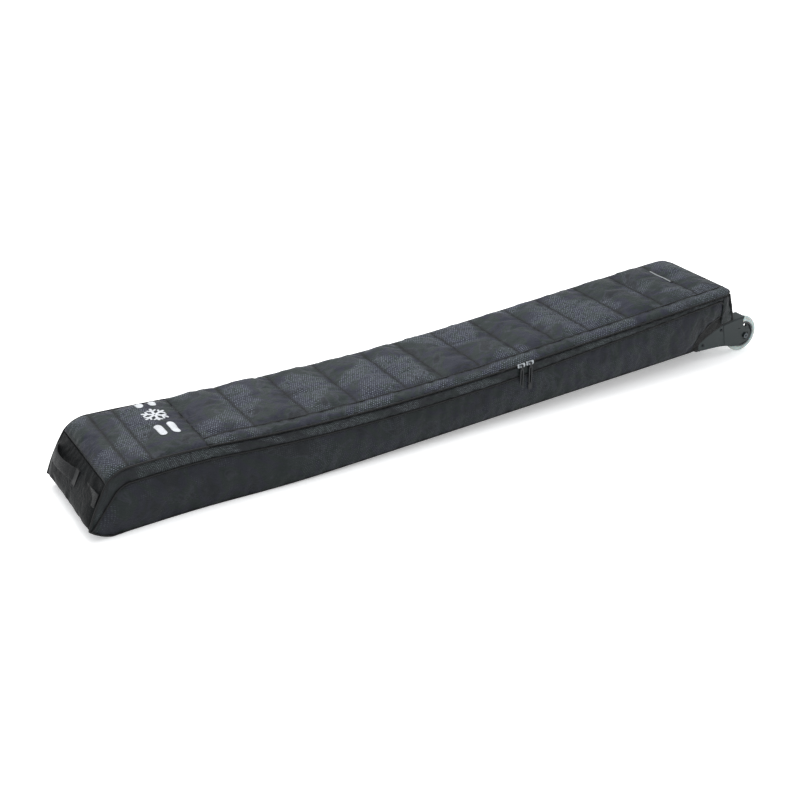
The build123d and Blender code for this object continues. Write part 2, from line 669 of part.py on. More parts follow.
# ---------------------------------------------------------------- the assembly
def parts():
    """Every node by name."""
    housing_front, housing_back = both_sides(wheel_housing())
    nodes = {
        "bottom_panel": bottom_panel(),
        "front_side_panel": front_side_panel(),
        "back_side_panel": back_side_panel(),
        "head_end_panel": head_end_panel(),
        "hood_panel": hood_panel(),
        "fixed_top_section": fixed_top_section(),
        "front_gusset": front_gusset(),
        "tail_end_panel": tail_end_panel(),
        "lower_piping_front": lower_piping(),
        "head_piping_front": head_piping(-1),
        "head_piping_back": head_piping(1),
        "base_board": base_board(),
        "floor_foam": floor_foam(),
        "head_end_foam": head_end_foam(),
        "ski_strap_head": ski_strap(STRAP_PLACES[0]),
        "ski_strap_tail": ski_strap(STRAP_PLACES[1]),
        "strap_buckles": strap_buckle(STRAP_PLACES[0]) + strap_buckle(STRAP_PLACES[1]),
        "zip_tape_lower": zip_tape(HOOD_END, SIDE_END, -18, -0.7),
        "zip_coil_lower": zip_coil_lower(),
        "zip_coil_fixed": zip_coil_fixed(),
        "head_handle_sleeve": head_handle_sleeve(),
        "head_handle_strap": head_handle_strap(),
        "handle_keeper": handle_keeper(),
        "tail_handle": tail_handle(),
        "wheel_housing_front": housing_front,
        "wheel_housing_back": housing_back,
        "tail_tray": tail_tray(),
        "lid_panel": lid_panel(),
        "lid_lining": lid_lining(),
        "lid_flap": lid_flap(),
        "lid_tail_section": lid_tail_section(),
        "lid_back_piping": lid_back_piping(),
        "zip_coil_upper": zip_coil_upper(),
        "zip_tape_upper": zip_tape(LID_START, SIDE_END, 0.7, 4.5),
        "label_tab": label_tab(),
        "slider_left": slider(SLIDER_LEFT_X),
        "slider_right": slider(SLIDER_RIGHT_X),
        "pull_left": pull(SLIDER_LEFT_X),
        "pull_right": pull(SLIDER_RIGHT_X),
    }
    pairs = {
        "wheel_well_panel": wheel_well_panel(),
        "arch_binding": arch_binding(),
        "wall_foam": wall_foam(),
        "tyre": tyre(),
        "hub": hub(),
        "bearings": bearings(),
    }
    for name, shape in pairs.items():
        nodes[name + "_front"], nodes[name + "_back"] = both_sides(shape)
    groups = {
        "housing_screws": housing_screws(),
        "axle_bolts": axle_bolt(),
        "axle_nuts": axle_nut(),
        "axle_spacers": axle_spacers(),
    }
    for name, shape in groups.items():
        front, back = both_sides(shape)
        nodes[name] = Compound(children=[*front.solids(), *back.solids()])
    return nodes


if __name__ == "__main__":
    os.makedirs("parts", exist_ok=True)
    for name, shape in parts().items():
        solids = [Pos(-MID_X, 0, 0) * s for s in shape.solids()]
        export_step(solids[0] if len(solids) == 1 else Compound(children=solids), f"parts/{name}.step")
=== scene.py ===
import math

import bpy
import numpy as np
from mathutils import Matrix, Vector
from mathutils.bvhtree import BVHTree


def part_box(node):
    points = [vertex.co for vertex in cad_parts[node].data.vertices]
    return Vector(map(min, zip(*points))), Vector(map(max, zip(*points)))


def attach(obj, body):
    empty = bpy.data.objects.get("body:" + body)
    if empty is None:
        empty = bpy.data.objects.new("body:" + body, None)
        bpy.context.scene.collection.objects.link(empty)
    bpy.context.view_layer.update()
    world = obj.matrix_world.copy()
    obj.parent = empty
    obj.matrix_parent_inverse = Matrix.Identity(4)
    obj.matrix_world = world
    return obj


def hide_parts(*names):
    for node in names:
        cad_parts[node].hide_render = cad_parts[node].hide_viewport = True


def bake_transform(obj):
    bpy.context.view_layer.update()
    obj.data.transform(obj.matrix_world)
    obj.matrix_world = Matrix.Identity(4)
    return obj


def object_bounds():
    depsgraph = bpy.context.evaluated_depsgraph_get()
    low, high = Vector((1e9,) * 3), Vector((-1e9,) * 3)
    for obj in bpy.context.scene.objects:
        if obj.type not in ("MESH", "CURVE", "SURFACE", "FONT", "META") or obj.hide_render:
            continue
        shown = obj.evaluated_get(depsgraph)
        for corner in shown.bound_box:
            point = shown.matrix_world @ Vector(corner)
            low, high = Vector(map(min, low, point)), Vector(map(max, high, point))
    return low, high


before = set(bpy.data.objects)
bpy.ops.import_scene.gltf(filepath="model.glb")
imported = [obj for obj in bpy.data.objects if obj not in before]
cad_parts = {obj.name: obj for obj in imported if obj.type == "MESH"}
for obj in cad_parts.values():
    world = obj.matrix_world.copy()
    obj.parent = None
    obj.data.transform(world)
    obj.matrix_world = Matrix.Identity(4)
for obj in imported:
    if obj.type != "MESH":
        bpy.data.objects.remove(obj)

cad_low, cad_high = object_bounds()

# ---------------------------------------------------------------- sizes, in metres
# X runs from the head end to the wheels, Y from the zip side to the hinge side. A station is a distance
# from the head end along X.
HEAD_X = -1.048  # half of the length, wheels included
HALF = 0.1535  # half of the nominal width
SKIN = 0.0022  # thickness of the outer cloth
CORD = 0.0026  # radius of the piping
ZIP_LOW, ZIP_LOW_Z, ZIP_RADIUS, ZIP_ARC_END = 0.756, 0.146, 6.914, 1.196
HEEL = 0.085  # the base rounds up into the head end here
BASE_FLAT_END, BASE_RADIUS, BASE_SLOPE = 0.365, 6.0, 0.04
HOOD_END, TAIL_SEAM, SIDE_END, TAIL_END, LID_END = 0.316, 1.862, 1.926, 1.961, 1.967
TAIL_LEAN, TAIL_FOOT, TAIL_TOP = 0.039, 0.118, 0.214  # the end wall stands out by this much at its foot
CAP_LOW = 0.1185  # the end wall's lower edge
CORNER = 0.035  # radius of the tail corners in plan
FLAP = 0.040  # width of the plain strip over the zip
GUSSET, GUSSET_TAIL = 0.033, 0.013  # height of the band under the zip, up to the arc's end and at the tail
SIDE_START = 0.0042  # the side panels begin here
ARCH_START = 1.815
BOTTOM_END, TRAY_X, TRAY_Z = 1.842, 1.8575, 0.0462  # the bottom cloth ends on the tray between the wheels
HEAD_FOOT, HEAD_TOP, HOOD_FRONT = (0.004, 0.034), (0.056, 0.139), (0.120, 0.168)  # corners of the profile
HOOD_SEAMS = [0.115, 0.175]
LID_SEAMS = [0.451, 0.595, 0.733, 0.880, 0.991, 1.107, 1.235, 1.355, 1.467, 1.602, 1.734, 1.862]
CELL = 0.007  # spacing of the fabric meshes
SIDES = ((-1, "front"), (1, "back"))

LOW_Z = ZIP_LOW_Z + ZIP_RADIUS
ZIP_SLOPE = (ZIP_ARC_END - ZIP_LOW) / math.sqrt(ZIP_RADIUS**2 - (ZIP_ARC_END - ZIP_LOW) ** 2)


# ---------------------------------------------------------------- curves of the bag
def zip_z(s):
    """Height of the zip line at a station."""
    s = np.asarray(s, float)
    arc = LOW_Z - np.sqrt(ZIP_RADIUS**2 - (np.minimum(s, ZIP_ARC_END) - ZIP_LOW) ** 2)
    return arc + np.maximum(s - ZIP_ARC_END, 0) * ZIP_SLOPE


def base_z(s):
    """Height of the underside at a station: flat, then an arc into a straight rise."""
    s = np.asarray(s, float)
    angle = math.atan(BASE_SLOPE)
    arc_end = BASE_FLAT_END + BASE_RADIUS * math.sin(angle)
    along = np.clip(s, BASE_FLAT_END, arc_end) - BASE_FLAT_END
    return BASE_RADIUS - np.sqrt(BASE_RADIUS**2 - along**2) + np.maximum(s - arc_end, 0) * BASE_SLOPE


def arc_points(a, b, c, count=24):
    """Points on the circle through a, b and c, from a to c."""
    (ax, ay), (bx, by), (cx, cy) = a, b, c
    d = 2 * (ax * (by - cy) + bx * (cy - ay) + cx * (ay - by))
    ux = ((ax**2 + ay**2) * (by - cy) + (bx**2 + by**2) * (cy - ay) + (cx**2 + cy**2) * (ay - by)) / d
    uy = ((ax**2 + ay**2) * (cx - bx) + (bx**2 + by**2) * (ax - cx) + (cx**2 + cy**2) * (bx - ax)) / d
    start, middle, end = (math.atan2(y - uy, x - ux) for x, y in (a, b, c))
    sweep = (end - start) % (2 * math.pi)
    if (middle - start) % (2 * math.pi) > sweep:
        sweep -= 2 * math.pi
    angles = start + sweep * np.linspace(0, 1, count)
    radius = math.hypot(ax - ux, ay - uy)
    return np.stack([ux + radius * np.cos(angles), uy + radius * np.sin(angles)], 1)


HEAD_ROUND = arc_points((HEEL, 0.0), (0.0416, 0.0094), HEAD_FOOT)
HEAD_FACE = arc_points(HEAD_FOOT, (0.024, 0.082), HEAD_TOP)
HEAD_END = np.vstack([HEAD_ROUND, HEAD_FACE[1:]])
HOOD_NOSE = arc_points(HEAD_TOP, (0.082, 0.160), HOOD_FRONT)
HOOD_TOP = arc_points(HOOD_FRONT, (0.218, 0.1665), (HOOD_END, float(zip_z(HOOD_END)) + 0.002))
HOOD = np.vstack([HOOD_NOSE, HOOD_TOP[1:]])
ARCH = arc_points((ARCH_START, 0.045), (1.856, 0.110), (SIDE_END, 0.147), 60)
ARCH = ARCH[ARCH[:, 1] > base_z(ARCH[:, 0]) + 0.003]  # the cut-out starts where it leaves the base


def lengths_along(points):
    """Distance of each point from the first, measured along the run."""
    return np.r_[0, np.cumsum(np.linalg.norm(np.diff(points, axis=0), axis=1))]


def at(t, lengths, values):
    """The rows of values at the distances t."""
    return np.stack([np.interp(t, lengths, column) for column in values.T], -1)


def along(points, count):
    """Resample a run of points evenly."""
    points = np.asarray(points, float)
    lengths = lengths_along(points)
    return at(np.linspace(0, lengths[-1], count), lengths, points)


def top_z(s):
    """Upper edge of the tub on its sides: the head end, the hood and then the zip line."""
    head = np.vstack([HEAD_FACE, HOOD[1:]])
    return np.where(np.asarray(s) < HOOD_END, np.interp(s, head[:, 0], head[:, 1]), zip_z(s))


def lower_piping_z(s):
    """The seam between the gusset and the front side panel."""
    knee = arc_points((0.075, 0.105), (0.091, 0.119), (0.116, 0.1265))
    x = np.r_[0.004, 0.013, knee[:, 0], HOOD_END]
    z = np.r_[0.031, 0.031, knee[:, 1], float(zip_z(HOOD_END)) - GUSSET]
    share = np.clip((np.asarray(s) - ZIP_ARC_END) / (SIDE_END - ZIP_ARC_END), 0, 1)
    band = zip_z(s) - GUSSET + (GUSSET - GUSSET_TAIL) * share
    return np.where(np.asarray(s) < HOOD_END, np.interp(s, x, z), band)


def low_z(s):
    """Lower edge of the side panels: the rounded head corner, the base and the arch over a wheel housing."""
    corner = HEAD_ROUND[::-1]
    base = np.where(np.asarray(s) < HEEL, np.interp(s, corner[:, 0], corner[:, 1]), base_z(s))
    return np.maximum(base, np.interp(s, ARCH[:, 0], ARCH[:, 1], left=0))


def side_draw(s):
    """How far the sides are drawn in from the nominal width by the fabric's tension."""
    s = np.minimum(s, SIDE_END)

    def bell(centre, width):
        return np.exp(-(((s - centre) / width) ** 2))

    head = 0.011 * bell(0.29, 0.2) - 0.0045 * bell(0, 0.06)
    return head + 0.003 * bell(1.96, 0.03) - 0.001 * bell(1.6, 0.16)


def side_y(side, s, out=0.0):
    """Place of a side's surface across the bag, on the front (-1) or back (1)."""
    return side * (HALF - side_draw(s) + out)


# ---------------------------------------------------------------- seeded noise
def noise(x, y, seed):
    """Smooth noise between about -1 and 1, one bump per unit."""
    table = np.random.RandomState(seed)
    angles = table.uniform(0, 2 * math.pi, (64, 64))
    x, y = np.broadcast_arrays(np.asarray(x, float), np.asarray(y, float))
    xi, yi = np.floor(x).astype(int), np.floor(y).astype(int)
    fx, fy = x - xi, y - yi
    wx, wy = fx**3 * (fx * (fx * 6 - 15) + 10), fy**3 * (fy * (fy * 6 - 15) + 10)
    corner = []
    for dx in (0, 1):
        for dy in (0, 1):
            a = angles[(xi + dx) % 64, (yi + dy) % 64]
            corner.append(np.cos(a) * (fx - dx) + np.sin(a) * (fy - dy))
    low = corner[0] * (1 - wy) + corner[1] * wy
    high = corner[2] * (1 - wy) + corner[3] * wy
    return 1.4 * (low * (1 - wx) + high * wx)


def creases(x, y, seed):
    """Narrow ridges between wide hollows, as tensioned fabric has."""
    return 1 - 2 * np.sqrt(np.abs(noise(x, y, seed)) + 0.01) + 0.3 * noise(x * 2.3, y * 2.3, seed + 1)


# ---------------------------------------------------------------- meshes
def make_object(name, vertices, faces, uvs=None, smooth=True):
    """A mesh piece; uvs holds one (u, v) in metres for each vertex."""
    mesh = bpy.data.meshes.new(name)
    mesh.from_pydata([tuple(v) for v in vertices], [], faces)
    mesh.update()
    if uvs is not None:
        layer = mesh.uv_layers.new(name="cloth")
        index = np.zeros(len(mesh.loops), int)
        mesh.loops.foreach_get("vertex_index", index)
        layer.data.foreach_set("uv", np.asarray(uvs, float)[index].ravel())
    mesh.polygons.foreach_set("use_smooth", [smooth] * len(mesh.polygons))
    obj = bpy.data.objects.new(name, mesh)
    bpy.context.scene.collection.objects.link(obj)
    return obj


def grid_faces(rows, cols, flip=False):
    faces = []
    for r in range(rows - 1):
        for c in range(cols - 1):
            i = r * cols + c
            quad = (i, i + 1, i + cols + 1, i + cols)
            faces.append(quad[::-1] if flip else quad)
    return faces


def grid_object(name, grid, flip=False):
    """A sheet from a (rows, columns, 3) array of points given as (station, y, z)."""
    grid = np.array(grid, float)
    rows, cols = grid.shape[:2]
    step_u = np.linalg.norm(np.diff(grid, axis=1), axis=2)
    step_v = np.linalg.norm(np.diff(grid, axis=0), axis=2)
    u = np.hstack([np.zeros((rows, 1)), np.cumsum(step_u, 1)])
    v = np.vstack([np.zeros((1, cols)), np.cumsum(step_v, 0)])
    points = grid.reshape(-1, 3) + (HEAD_X, 0, 0)
    return make_object(name, points, grid_faces(rows, cols, flip), np.stack([u.ravel(), v.ravel()], 1))


def columns_between(stops, cell=CELL):
    """Stations with one exactly on each stop, and even steps of about a cell between them."""
    out = [stops[0]]
    for a, b in zip(stops, stops[1:]):
        count = max(2, round((b - a) / cell))
        out.extend(a + (b - a) * (np.arange(count) + 1) / count)
    return np.array(out)


def set_painted_seam_shade(obj, distance, width=0.004):
    """Store how near each vertex is to a seam, for the painted shade that the printed materials lay along the
    seams.
    """
    near = np.exp(-np.asarray(distance, float).ravel() / width)
    attribute = obj.data.attributes.new("seam", "FLOAT", "POINT")
    attribute.data.foreach_set("value", near.astype(np.float32))


def points_of(obj):
    co = np.zeros(len(obj.data.vertices) * 3, np.float32)
    obj.data.vertices.foreach_get("co", co)
    return co.reshape(-1, 3).astype(float)


def set_points(obj, points):
    obj.data.vertices.foreach_set("co", np.asarray(points, np.float32).ravel())
    obj.data.update()


to_settle = []


def settle_later(obj, pinned, pressure, grow, cap):
    """Queue a sheet for the cloth simulation, with its pinned vertices given as a mask."""
    group = obj.vertex_groups.new(name="seams")
    group.add([int(i) for i in np.flatnonzero(np.asarray(pinned).ravel())], 1.0, "REPLACE")
    to_settle.append((obj, pressure, grow, cap))


def settle(frames=20):
    """Let the queued sheets swell and crease between their pinned seams, capped, and apply the result."""
    for obj, pressure, grow, cap in to_settle:
        cloth = obj.modifiers.new("settle", "CLOTH")
        cloth.settings.vertex_group_mass = "seams"
        cloth.settings.use_pressure = True
        cloth.settings.uniform_pressure_force = pressure
        cloth.settings.shrink_min = -grow
        cloth.settings.bending_stiffness = 2.0
        cloth.settings.effector_weights.gravity = 0
        cloth.collision_settings.use_collision = False
        cloth.point_cache.frame_end = frames
    for number in range(1, frames + 1):
        bpy.context.scene.frame_set(number)
    graph = bpy.context.evaluated_depsgraph_get()
    for obj, pressure, grow, cap in to_settle:
        shaped = obj.evaluated_get(graph)
        after = np.array([v.co for v in shaped.data.vertices], float)
        before = points_of(obj)
        move = after - before
        length = np.linalg.norm(move, axis=1, keepdims=True)
        move *= np.where(length > cap, cap / np.maximum(length, 1e-9), 1.0)
        obj.modifiers.remove(obj.modifiers["settle"])
        set_points(obj, before + move)
    bpy.context.scene.frame_set(1)


def smooth_out(obj, levels=1):
    smooth = obj.modifiers.new("smooth", "SUBSURF")
    smooth.levels = smooth.render_levels = levels


def thicken(obj, thickness=SKIN):
    """Give a sheet its thickness, inwards."""
    solid = obj.modifiers.new("thickness", "SOLIDIFY")
    solid.thickness = thickness
    solid.offset = -1


def finish_cloth(obj, thickness=SKIN, levels=1):
    """Smooth a sheet and thicken it."""
    smooth_out(obj, levels)
    thicken(obj, thickness)
    return obj


def ring_faces(first, rings, sides):
    """Faces of a closed tube whose rings of vertices follow on from the vertex called first."""
    faces = []
    for low in range(first, first + (rings - 1) * sides, sides):
        for j in range(sides):
            k = (j + 1) % sides
            faces.append((low + j, low + k, low + sides + k, low + sides + j))
    last = first + (rings - 1) * sides
    faces.append(tuple(range(first, first + sides))[::-1])
    faces.append(tuple(range(last, last + sides)))
    return faces


def tube(name, points, radius, sides=10):
    """A closed tube along points, made of rings that stay square to the run."""
    points = np.asarray(points, float) + (HEAD_X, 0, 0)
    tangent = np.gradient(points, axis=0)
    tangent /= np.linalg.norm(tangent, axis=1, keepdims=True)
    side = np.cross(tangent, (0, 0, 1.0))
    weak = np.linalg.norm(side, axis=1) < 0.2
    side[weak] = np.cross(tangent[weak], (0, 1.0, 0))
    side /= np.linalg.norm(side, axis=1, keepdims=True)
    for i in range(1, len(side)):
        if side[i] @ side[i - 1] < 0:
            side[i] *= -1
    up = np.cross(side, tangent)
    angles = np.arange(sides) * 2 * math.pi / sides
    across, upward = radius * np.cos(angles)[None, :, None], radius * np.sin(angles)[None, :, None]
    rings = points[:, None] + across * side[:, None] + upward * up[:, None]
    uvs = np.stack([np.repeat(lengths_along(points), sides), np.tile(angles * radius, len(points))], 1)
    return make_object(name, rings.reshape(-1, 3), ring_faces(0, len(points), sides), uvs)


# ---------------------------------------------------------------- materials
def set_inputs(target, values):
    """Set or link the inputs of a node."""
    for key, value in values.items():
        if isinstance(value, bpy.types.NodeSocket):
            target.id_data.links.new(value, target.inputs[key])
        else:
            target.inputs[key].default_value = value


def material(name):
    """A principled material, its shader and a small helper that adds nodes."""
    made = bpy.data.materials.new(name)
    made.use_nodes = True
    nodes = made.node_tree.nodes

    def node(kind, values=(), **settings):
        new = nodes.new("ShaderNode" + kind)
        for key, value in settings.items():
            setattr(new, key, value)
        set_inputs(new, dict(values))
        return new

    return made, nodes["Principled BSDF"], node


def srgb(r, g, b):
    """A linear colour from sRGB values in 0 to 255."""
    out = []
    for v in (r, g, b):
        v /= 255
        out.append(v / 12.92 if v <= 0.04045 else ((v + 0.055) / 1.055) ** 2.4)
    return (*out, 1.0)


def lighter(colour, factor):
    return tuple(min(v * factor, 1.0) for v in colour[:3]) + (1.0,)


def ramp(node, factor, stops):
    """A colour ramp from a list of (place, colour)."""
    made = node("ValToRGB", {"Fac": factor})
    while len(made.color_ramp.elements) < len(stops):
        made.color_ramp.elements.new(0.5)
    for element, (place, colour) in zip(made.color_ramp.elements, stops):
        element.position = place
        element.color = colour if len(colour) == 4 else srgb(*colour)
    return made.outputs["Color"]


def mix(node, factor, a, b, blend="MIX"):
    return node("Mix", {0: factor, 6: a, 7: b}, data_type="RGBA", blend_type=blend).outputs[2]


def maths(node, operation, a, b=0.0, clamp=False):
    return node("Math", {0: a, 1: b}, operation=operation, use_clamp=clamp).outputs[0]


def vector(node, operation, a, b):
    return node("VectorMath", {0: a, 1: b}, operation=operation).outputs[0]


def cloud(node, place, scale, output="Fac", **values):
    return node("TexNoise", {"Vector": place, "Scale": scale, **values}).outputs[output]


def spread_over(node, value, low, high):
    return node("MapRange", {"Value": value, "To Min": low, "To Max": high}).outputs[0]


def bumped(node, height, strength, distance, **values):
    return node("Bump", {"Height": height, "Strength": strength, "Distance": distance, **values}).outputs[0]


def shaded(node, tone, factor):
    """A tone made lighter or darker by a factor."""
    grey = node("CombineColor", {0: factor, 1: factor, 2: factor}).outputs[0]
    return mix(node, 1.0, tone, grey, "MULTIPLY")


def waves(node, uv, scale, direction):
    return node("TexWave", {"Vector": uv, "Scale": scale}, bands_direction=direction).outputs["Fac"]


def dots(node, uv, spacing, radius):
    """A hexagonal field of round dots; 1 inside a dot."""
    found = []
    for shift in (0, 0.5):
        moved = vector(node, "MULTIPLY", uv, (1 / spacing, 0.577 / spacing, 0))
        moved = vector(node, "ADD", moved, (shift, shift, 0))
        part = node("VectorMath", {0: moved}, operation="FRACTION").outputs[0]
        centred = vector(node, "SUBTRACT", part, (0.5, 0.5, 0))
        square = vector(node, "MULTIPLY", centred, (1, 1.732, 0))
        size = node("VectorMath", {0: square}, operation="LENGTH").outputs["Value"]
        found.append(maths(node, "LESS_THAN", size, radius))
    return maths(node, "MAXIMUM", *found)


def surface(
    name, colour, roughness, bump_scale, bump, sheen=0.0, metallic=0.0, spread=0.12, edge_lightening=0.0, specular=0.3
):
    """A moulded, metal or plain woven surface: uneven tone, grain in its bump and lighter sharp edges."""
    made, shader, node = material(name)
    place = node("TexCoord").outputs["Object"]
    uneven = cloud(node, place, 22.0, Detail=4.0)
    tone = ramp(node, uneven, [(0.3, lighter(colour, 1 - spread)), (0.7, lighter(colour, 1 + spread))])
    if edge_lightening:
        # Sharp edges, found from their pointiness, are made lighter.
        edge = node("NewGeometry").outputs["Pointiness"]
        sharp_edges = maths(node, "MULTIPLY", maths(node, "SUBTRACT", edge, 0.52, True), edge_lightening, True)
        tone = mix(node, sharp_edges, tone, lighter(colour, 1.9))
    grain = cloud(node, place, bump_scale, Detail=3.0)
    settings = {
        "Base Color": tone,
        "Roughness": spread_over(node, uneven, roughness - 0.06, roughness + 0.08),
        "Normal": bumped(node, grain, bump, 0.0004),
        "Metallic": metallic,
        "Sheen Weight": sheen,
        "Specular IOR Level": specular,
    }
    set_inputs(shader, settings)
    return made


def printed_fabric(name, tones, dot_tone, dot_cover, seed, pitch=0.0058, specular=0.17):
    """Coated ripstop with a blotched print, fields of fine dots, creases and painted shade along the seams.
    """
    made, shader, node = material(name)
    uv = node("UVMap", uv_map="cloth").outputs["UV"]
    place = vector(node, "ADD", uv, (seed * 3.7, seed * 1.9, 0))

    blotch = cloud(node, place, 9.0, Detail=4.0, Roughness=0.6, Distortion=1.2)
    blue, green, grey, bright = tones
    stops = [(0.38, grey), (0.41, blue), (0.48, blue), (0.50, green), (0.57, green)]
    tone = ramp(node, blotch, [*stops, (0.59, bright), (0.64, grey)])
    field = cloud(node, place, 6.0, Detail=2.0, Distortion=0.5)
    shown = node("MapRange", {"Value": field, "From Min": dot_cover, "From Max": dot_cover + 0.06}).outputs[0]
    sway = vector(node, "MULTIPLY", cloud(node, uv, 60.0, "Color"), (0.003, 0.003, 0))
    dotted = maths(node, "MULTIPLY", dots(node, vector(node, "ADD", uv, sway), pitch, 0.25), shown, True)
    uneven = maths(node, "SUBTRACT", cloud(node, uv, 150.0, Detail=1.0), 0.3, True)
    dotted = maths(node, "MULTIPLY", dotted, maths(node, "MULTIPLY", uneven, 3.2, True))
    tone = mix(node, dotted, tone, srgb(*dot_tone))
    tone = shaded(node, tone, spread_over(node, cloud(node, place, 2.2, Detail=2.0), 0.86, 1.16))
    # Painted shade: the print is darkened to near-black along the seams, where shade falls in their grooves.
    seam = node("Attribute", attribute_name="seam").outputs["Fac"]
    tone = mix(node, maths(node, "MULTIPLY", seam, 0.85), tone, srgb(5, 6, 7))

    weave = maths(node, "MULTIPLY", waves(node, uv, 520.0, "X"), waves(node, uv, 520.0, "Y"))
    fold = cloud(node, place, 55.0, Detail=4.0, Roughness=0.6, Distortion=0.7)
    broad = bumped(node, fold, 0.75, 0.005)
    settings = {
        "Base Color": tone,
        "Roughness": spread_over(node, field, 0.5, 0.68),
        "Normal": bumped(node, weave, 0.25, 0.0003, Normal=broad),
        "Sheen Weight": 0.02,
        "Sheen Roughness": 0.4,
        "Specular IOR Level": specular,
    }
    set_inputs(shader, settings)
    return made


def woven(name, colour, pitch, strength=0.7, sheen=0.1):
    """Webbing or lining: crossed ribs in the bump, a slightly uneven tone, and painted shade in the hollows
    between the ribs with painted light on their crests.
    """
    made, shader, node = material(name)
    uv = node("UVMap", uv_map="cloth").outputs["UV"]
    uneven = cloud(node, uv, 40.0, Detail=4.0)
    height = maths(node, "MULTIPLY", waves(node, uv, 0.5 / pitch, "X"), waves(node, uv, 0.31 / pitch, "Y"))
    tone = ramp(node, uneven, [(0.3, lighter(colour, 0.8)), (0.7, colour)])
    settings = {
        # Painted shade and light: the tone follows the rib height, darker in the hollows and lighter on the
        # crests.
        "Base Color": shaded(node, tone, spread_over(node, height, 0.7, 1.1)),
        "Roughness": spread_over(node, uneven, 0.62, 0.82),
        "Normal": bumped(node, height, strength, pitch * 0.4),
        "Sheen Weight": sheen,
        "Specular IOR Level": 0.2,
    }
    set_inputs(shader, settings)
    return made


SHELL_TONES = (27, 29, 36), (25, 31, 31), (23, 26, 29), (35, 38, 43)  # blue, green, grey and bright
QUILT_TONES = (33, 35, 46), (31, 38, 38), (29, 32, 36), (44, 47, 54)
BAND_TONES = (25, 27, 31), (24, 30, 30), (22, 25, 27), (32, 36, 39)
# The head end's tones are the shell print's made far darker, for the shade on the end face: painted shade.
SHADED_END_TONES = (11, 12, 13), (10, 12, 13), (9, 11, 12), (14, 16, 17)
SHELL = printed_fabric("shell_print", SHELL_TONES, (52, 56, 61), 0.52, 1)
QUILT = printed_fabric("quilt_print", QUILT_TONES, (104, 110, 120), 0.49, 2)
BAND = printed_fabric("band_print", BAND_TONES, (92, 99, 102), 0.47, 3, pitch=0.0046)
# The head end's print, darker and with less specular: painted shade for the end face.
SHADED_END_PRINT = printed_fabric("end_print_shaded", SHADED_END_TONES, (30, 34, 36), 0.54, 4, specular=0.08)
LINING = woven("lining_cloth", srgb(58, 61, 66), 0.0012, 0.5, 0.05)
PAD = woven("padding_cloth", srgb(44, 47, 52), 0.0016, 0.6, 0.05)
WEBBING = woven("webbing_weave", srgb(15, 17, 18), 0.0018, 0.9)
LABEL_EDGE = woven("label_edge_weave", srgb(150, 154, 158), 0.0008, 0.5)
TAPE = woven("tape_weave", srgb(20, 22, 24), 0.0010, 0.6)
SLEEVE = woven("sleeve_cloth", srgb(16, 18, 20), 0.0014, 0.6)
BASE_CLOTH = woven("base_cloth", srgb(7, 8, 9), 0.0014, 0.5)
PALE = woven("pale_print", srgb(214, 217, 221), 0.0012, 0.4)
PIPING = surface("piping_cord", srgb(9, 10, 11), 0.55, 900.0, 0.5, specular=0.25)
THREAD = surface("thread", srgb(56, 61, 66), 0.6, 1500.0, 0.4, sheen=0.1)
DARK_THREAD = surface("dark_thread", srgb(24, 27, 30), 0.6, 1500.0, 0.4, sheen=0.1)
COIL = surface("zip_coil_nylon", srgb(22, 24, 26), 0.35, 600.0, 0.3)
HOUSING = surface("housing_moulding", srgb(23, 31, 32), 0.5, 420.0, 0.5, spread=0.07, edge_lightening=4.0)
SLIDER = surface("slider_casting", srgb(132, 136, 139), 0.34, 300.0, 0.3, metallic=1.0, edge_lightening=3.0)
RUBBER = surface("pull_moulding", srgb(24, 26, 28), 0.5, 500.0, 0.4)
BUCKLE = surface("buckle_moulding", srgb(12, 13, 14), 0.5, 350.0, 0.4, edge_lightening=3.0, specular=0.2)
BOARD = surface("board_plastic", srgb(40, 43, 46), 0.55, 150.0, 0.6)
HUB = surface("hub_moulding", srgb(52, 56, 58), 0.4, 300.0, 0.3, edge_lightening=4.0)
STEEL = surface("bearing_steel", srgb(150, 152, 155), 0.3, 250.0, 0.2, metallic=1.0)
BOLT = surface("bolt_steel", srgb(66, 70, 73), 0.4, 250.0, 0.3, metallic=1.0, edge_lightening=4.0)
SCREW = surface("screw_steel", srgb(38, 40, 42), 0.38, 250.0, 0.3, metallic=0.8, edge_lightening=4.0)


def tyre_material():
    """Cast polyurethane, pale and slightly see-through, scuffed where it rolls."""
    made, shader, node = material("tread_urethane")
    scuff = cloud(node, node("TexCoord").outputs["Object"], 90.0, Detail=6.0, Distortion=1.0)
    settings = {
        "Base Color": ramp(node, scuff, [(0.35, (136, 150, 148)), (0.7, (176, 186, 184))]),
        "Roughness": spread_over(node, scuff, 0.3, 0.6),
        "Normal": bumped(node, scuff, 0.3, 0.0005),
        "Subsurface Weight": 0.3,
        "Subsurface Scale": 0.01,
    }
    set_inputs(shader, settings)
    return made


def paint(made, *nodes):
    """Give CAD nodes a finished material."""
    for name in nodes:
        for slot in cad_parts[name].material_slots:
            slot.material = made


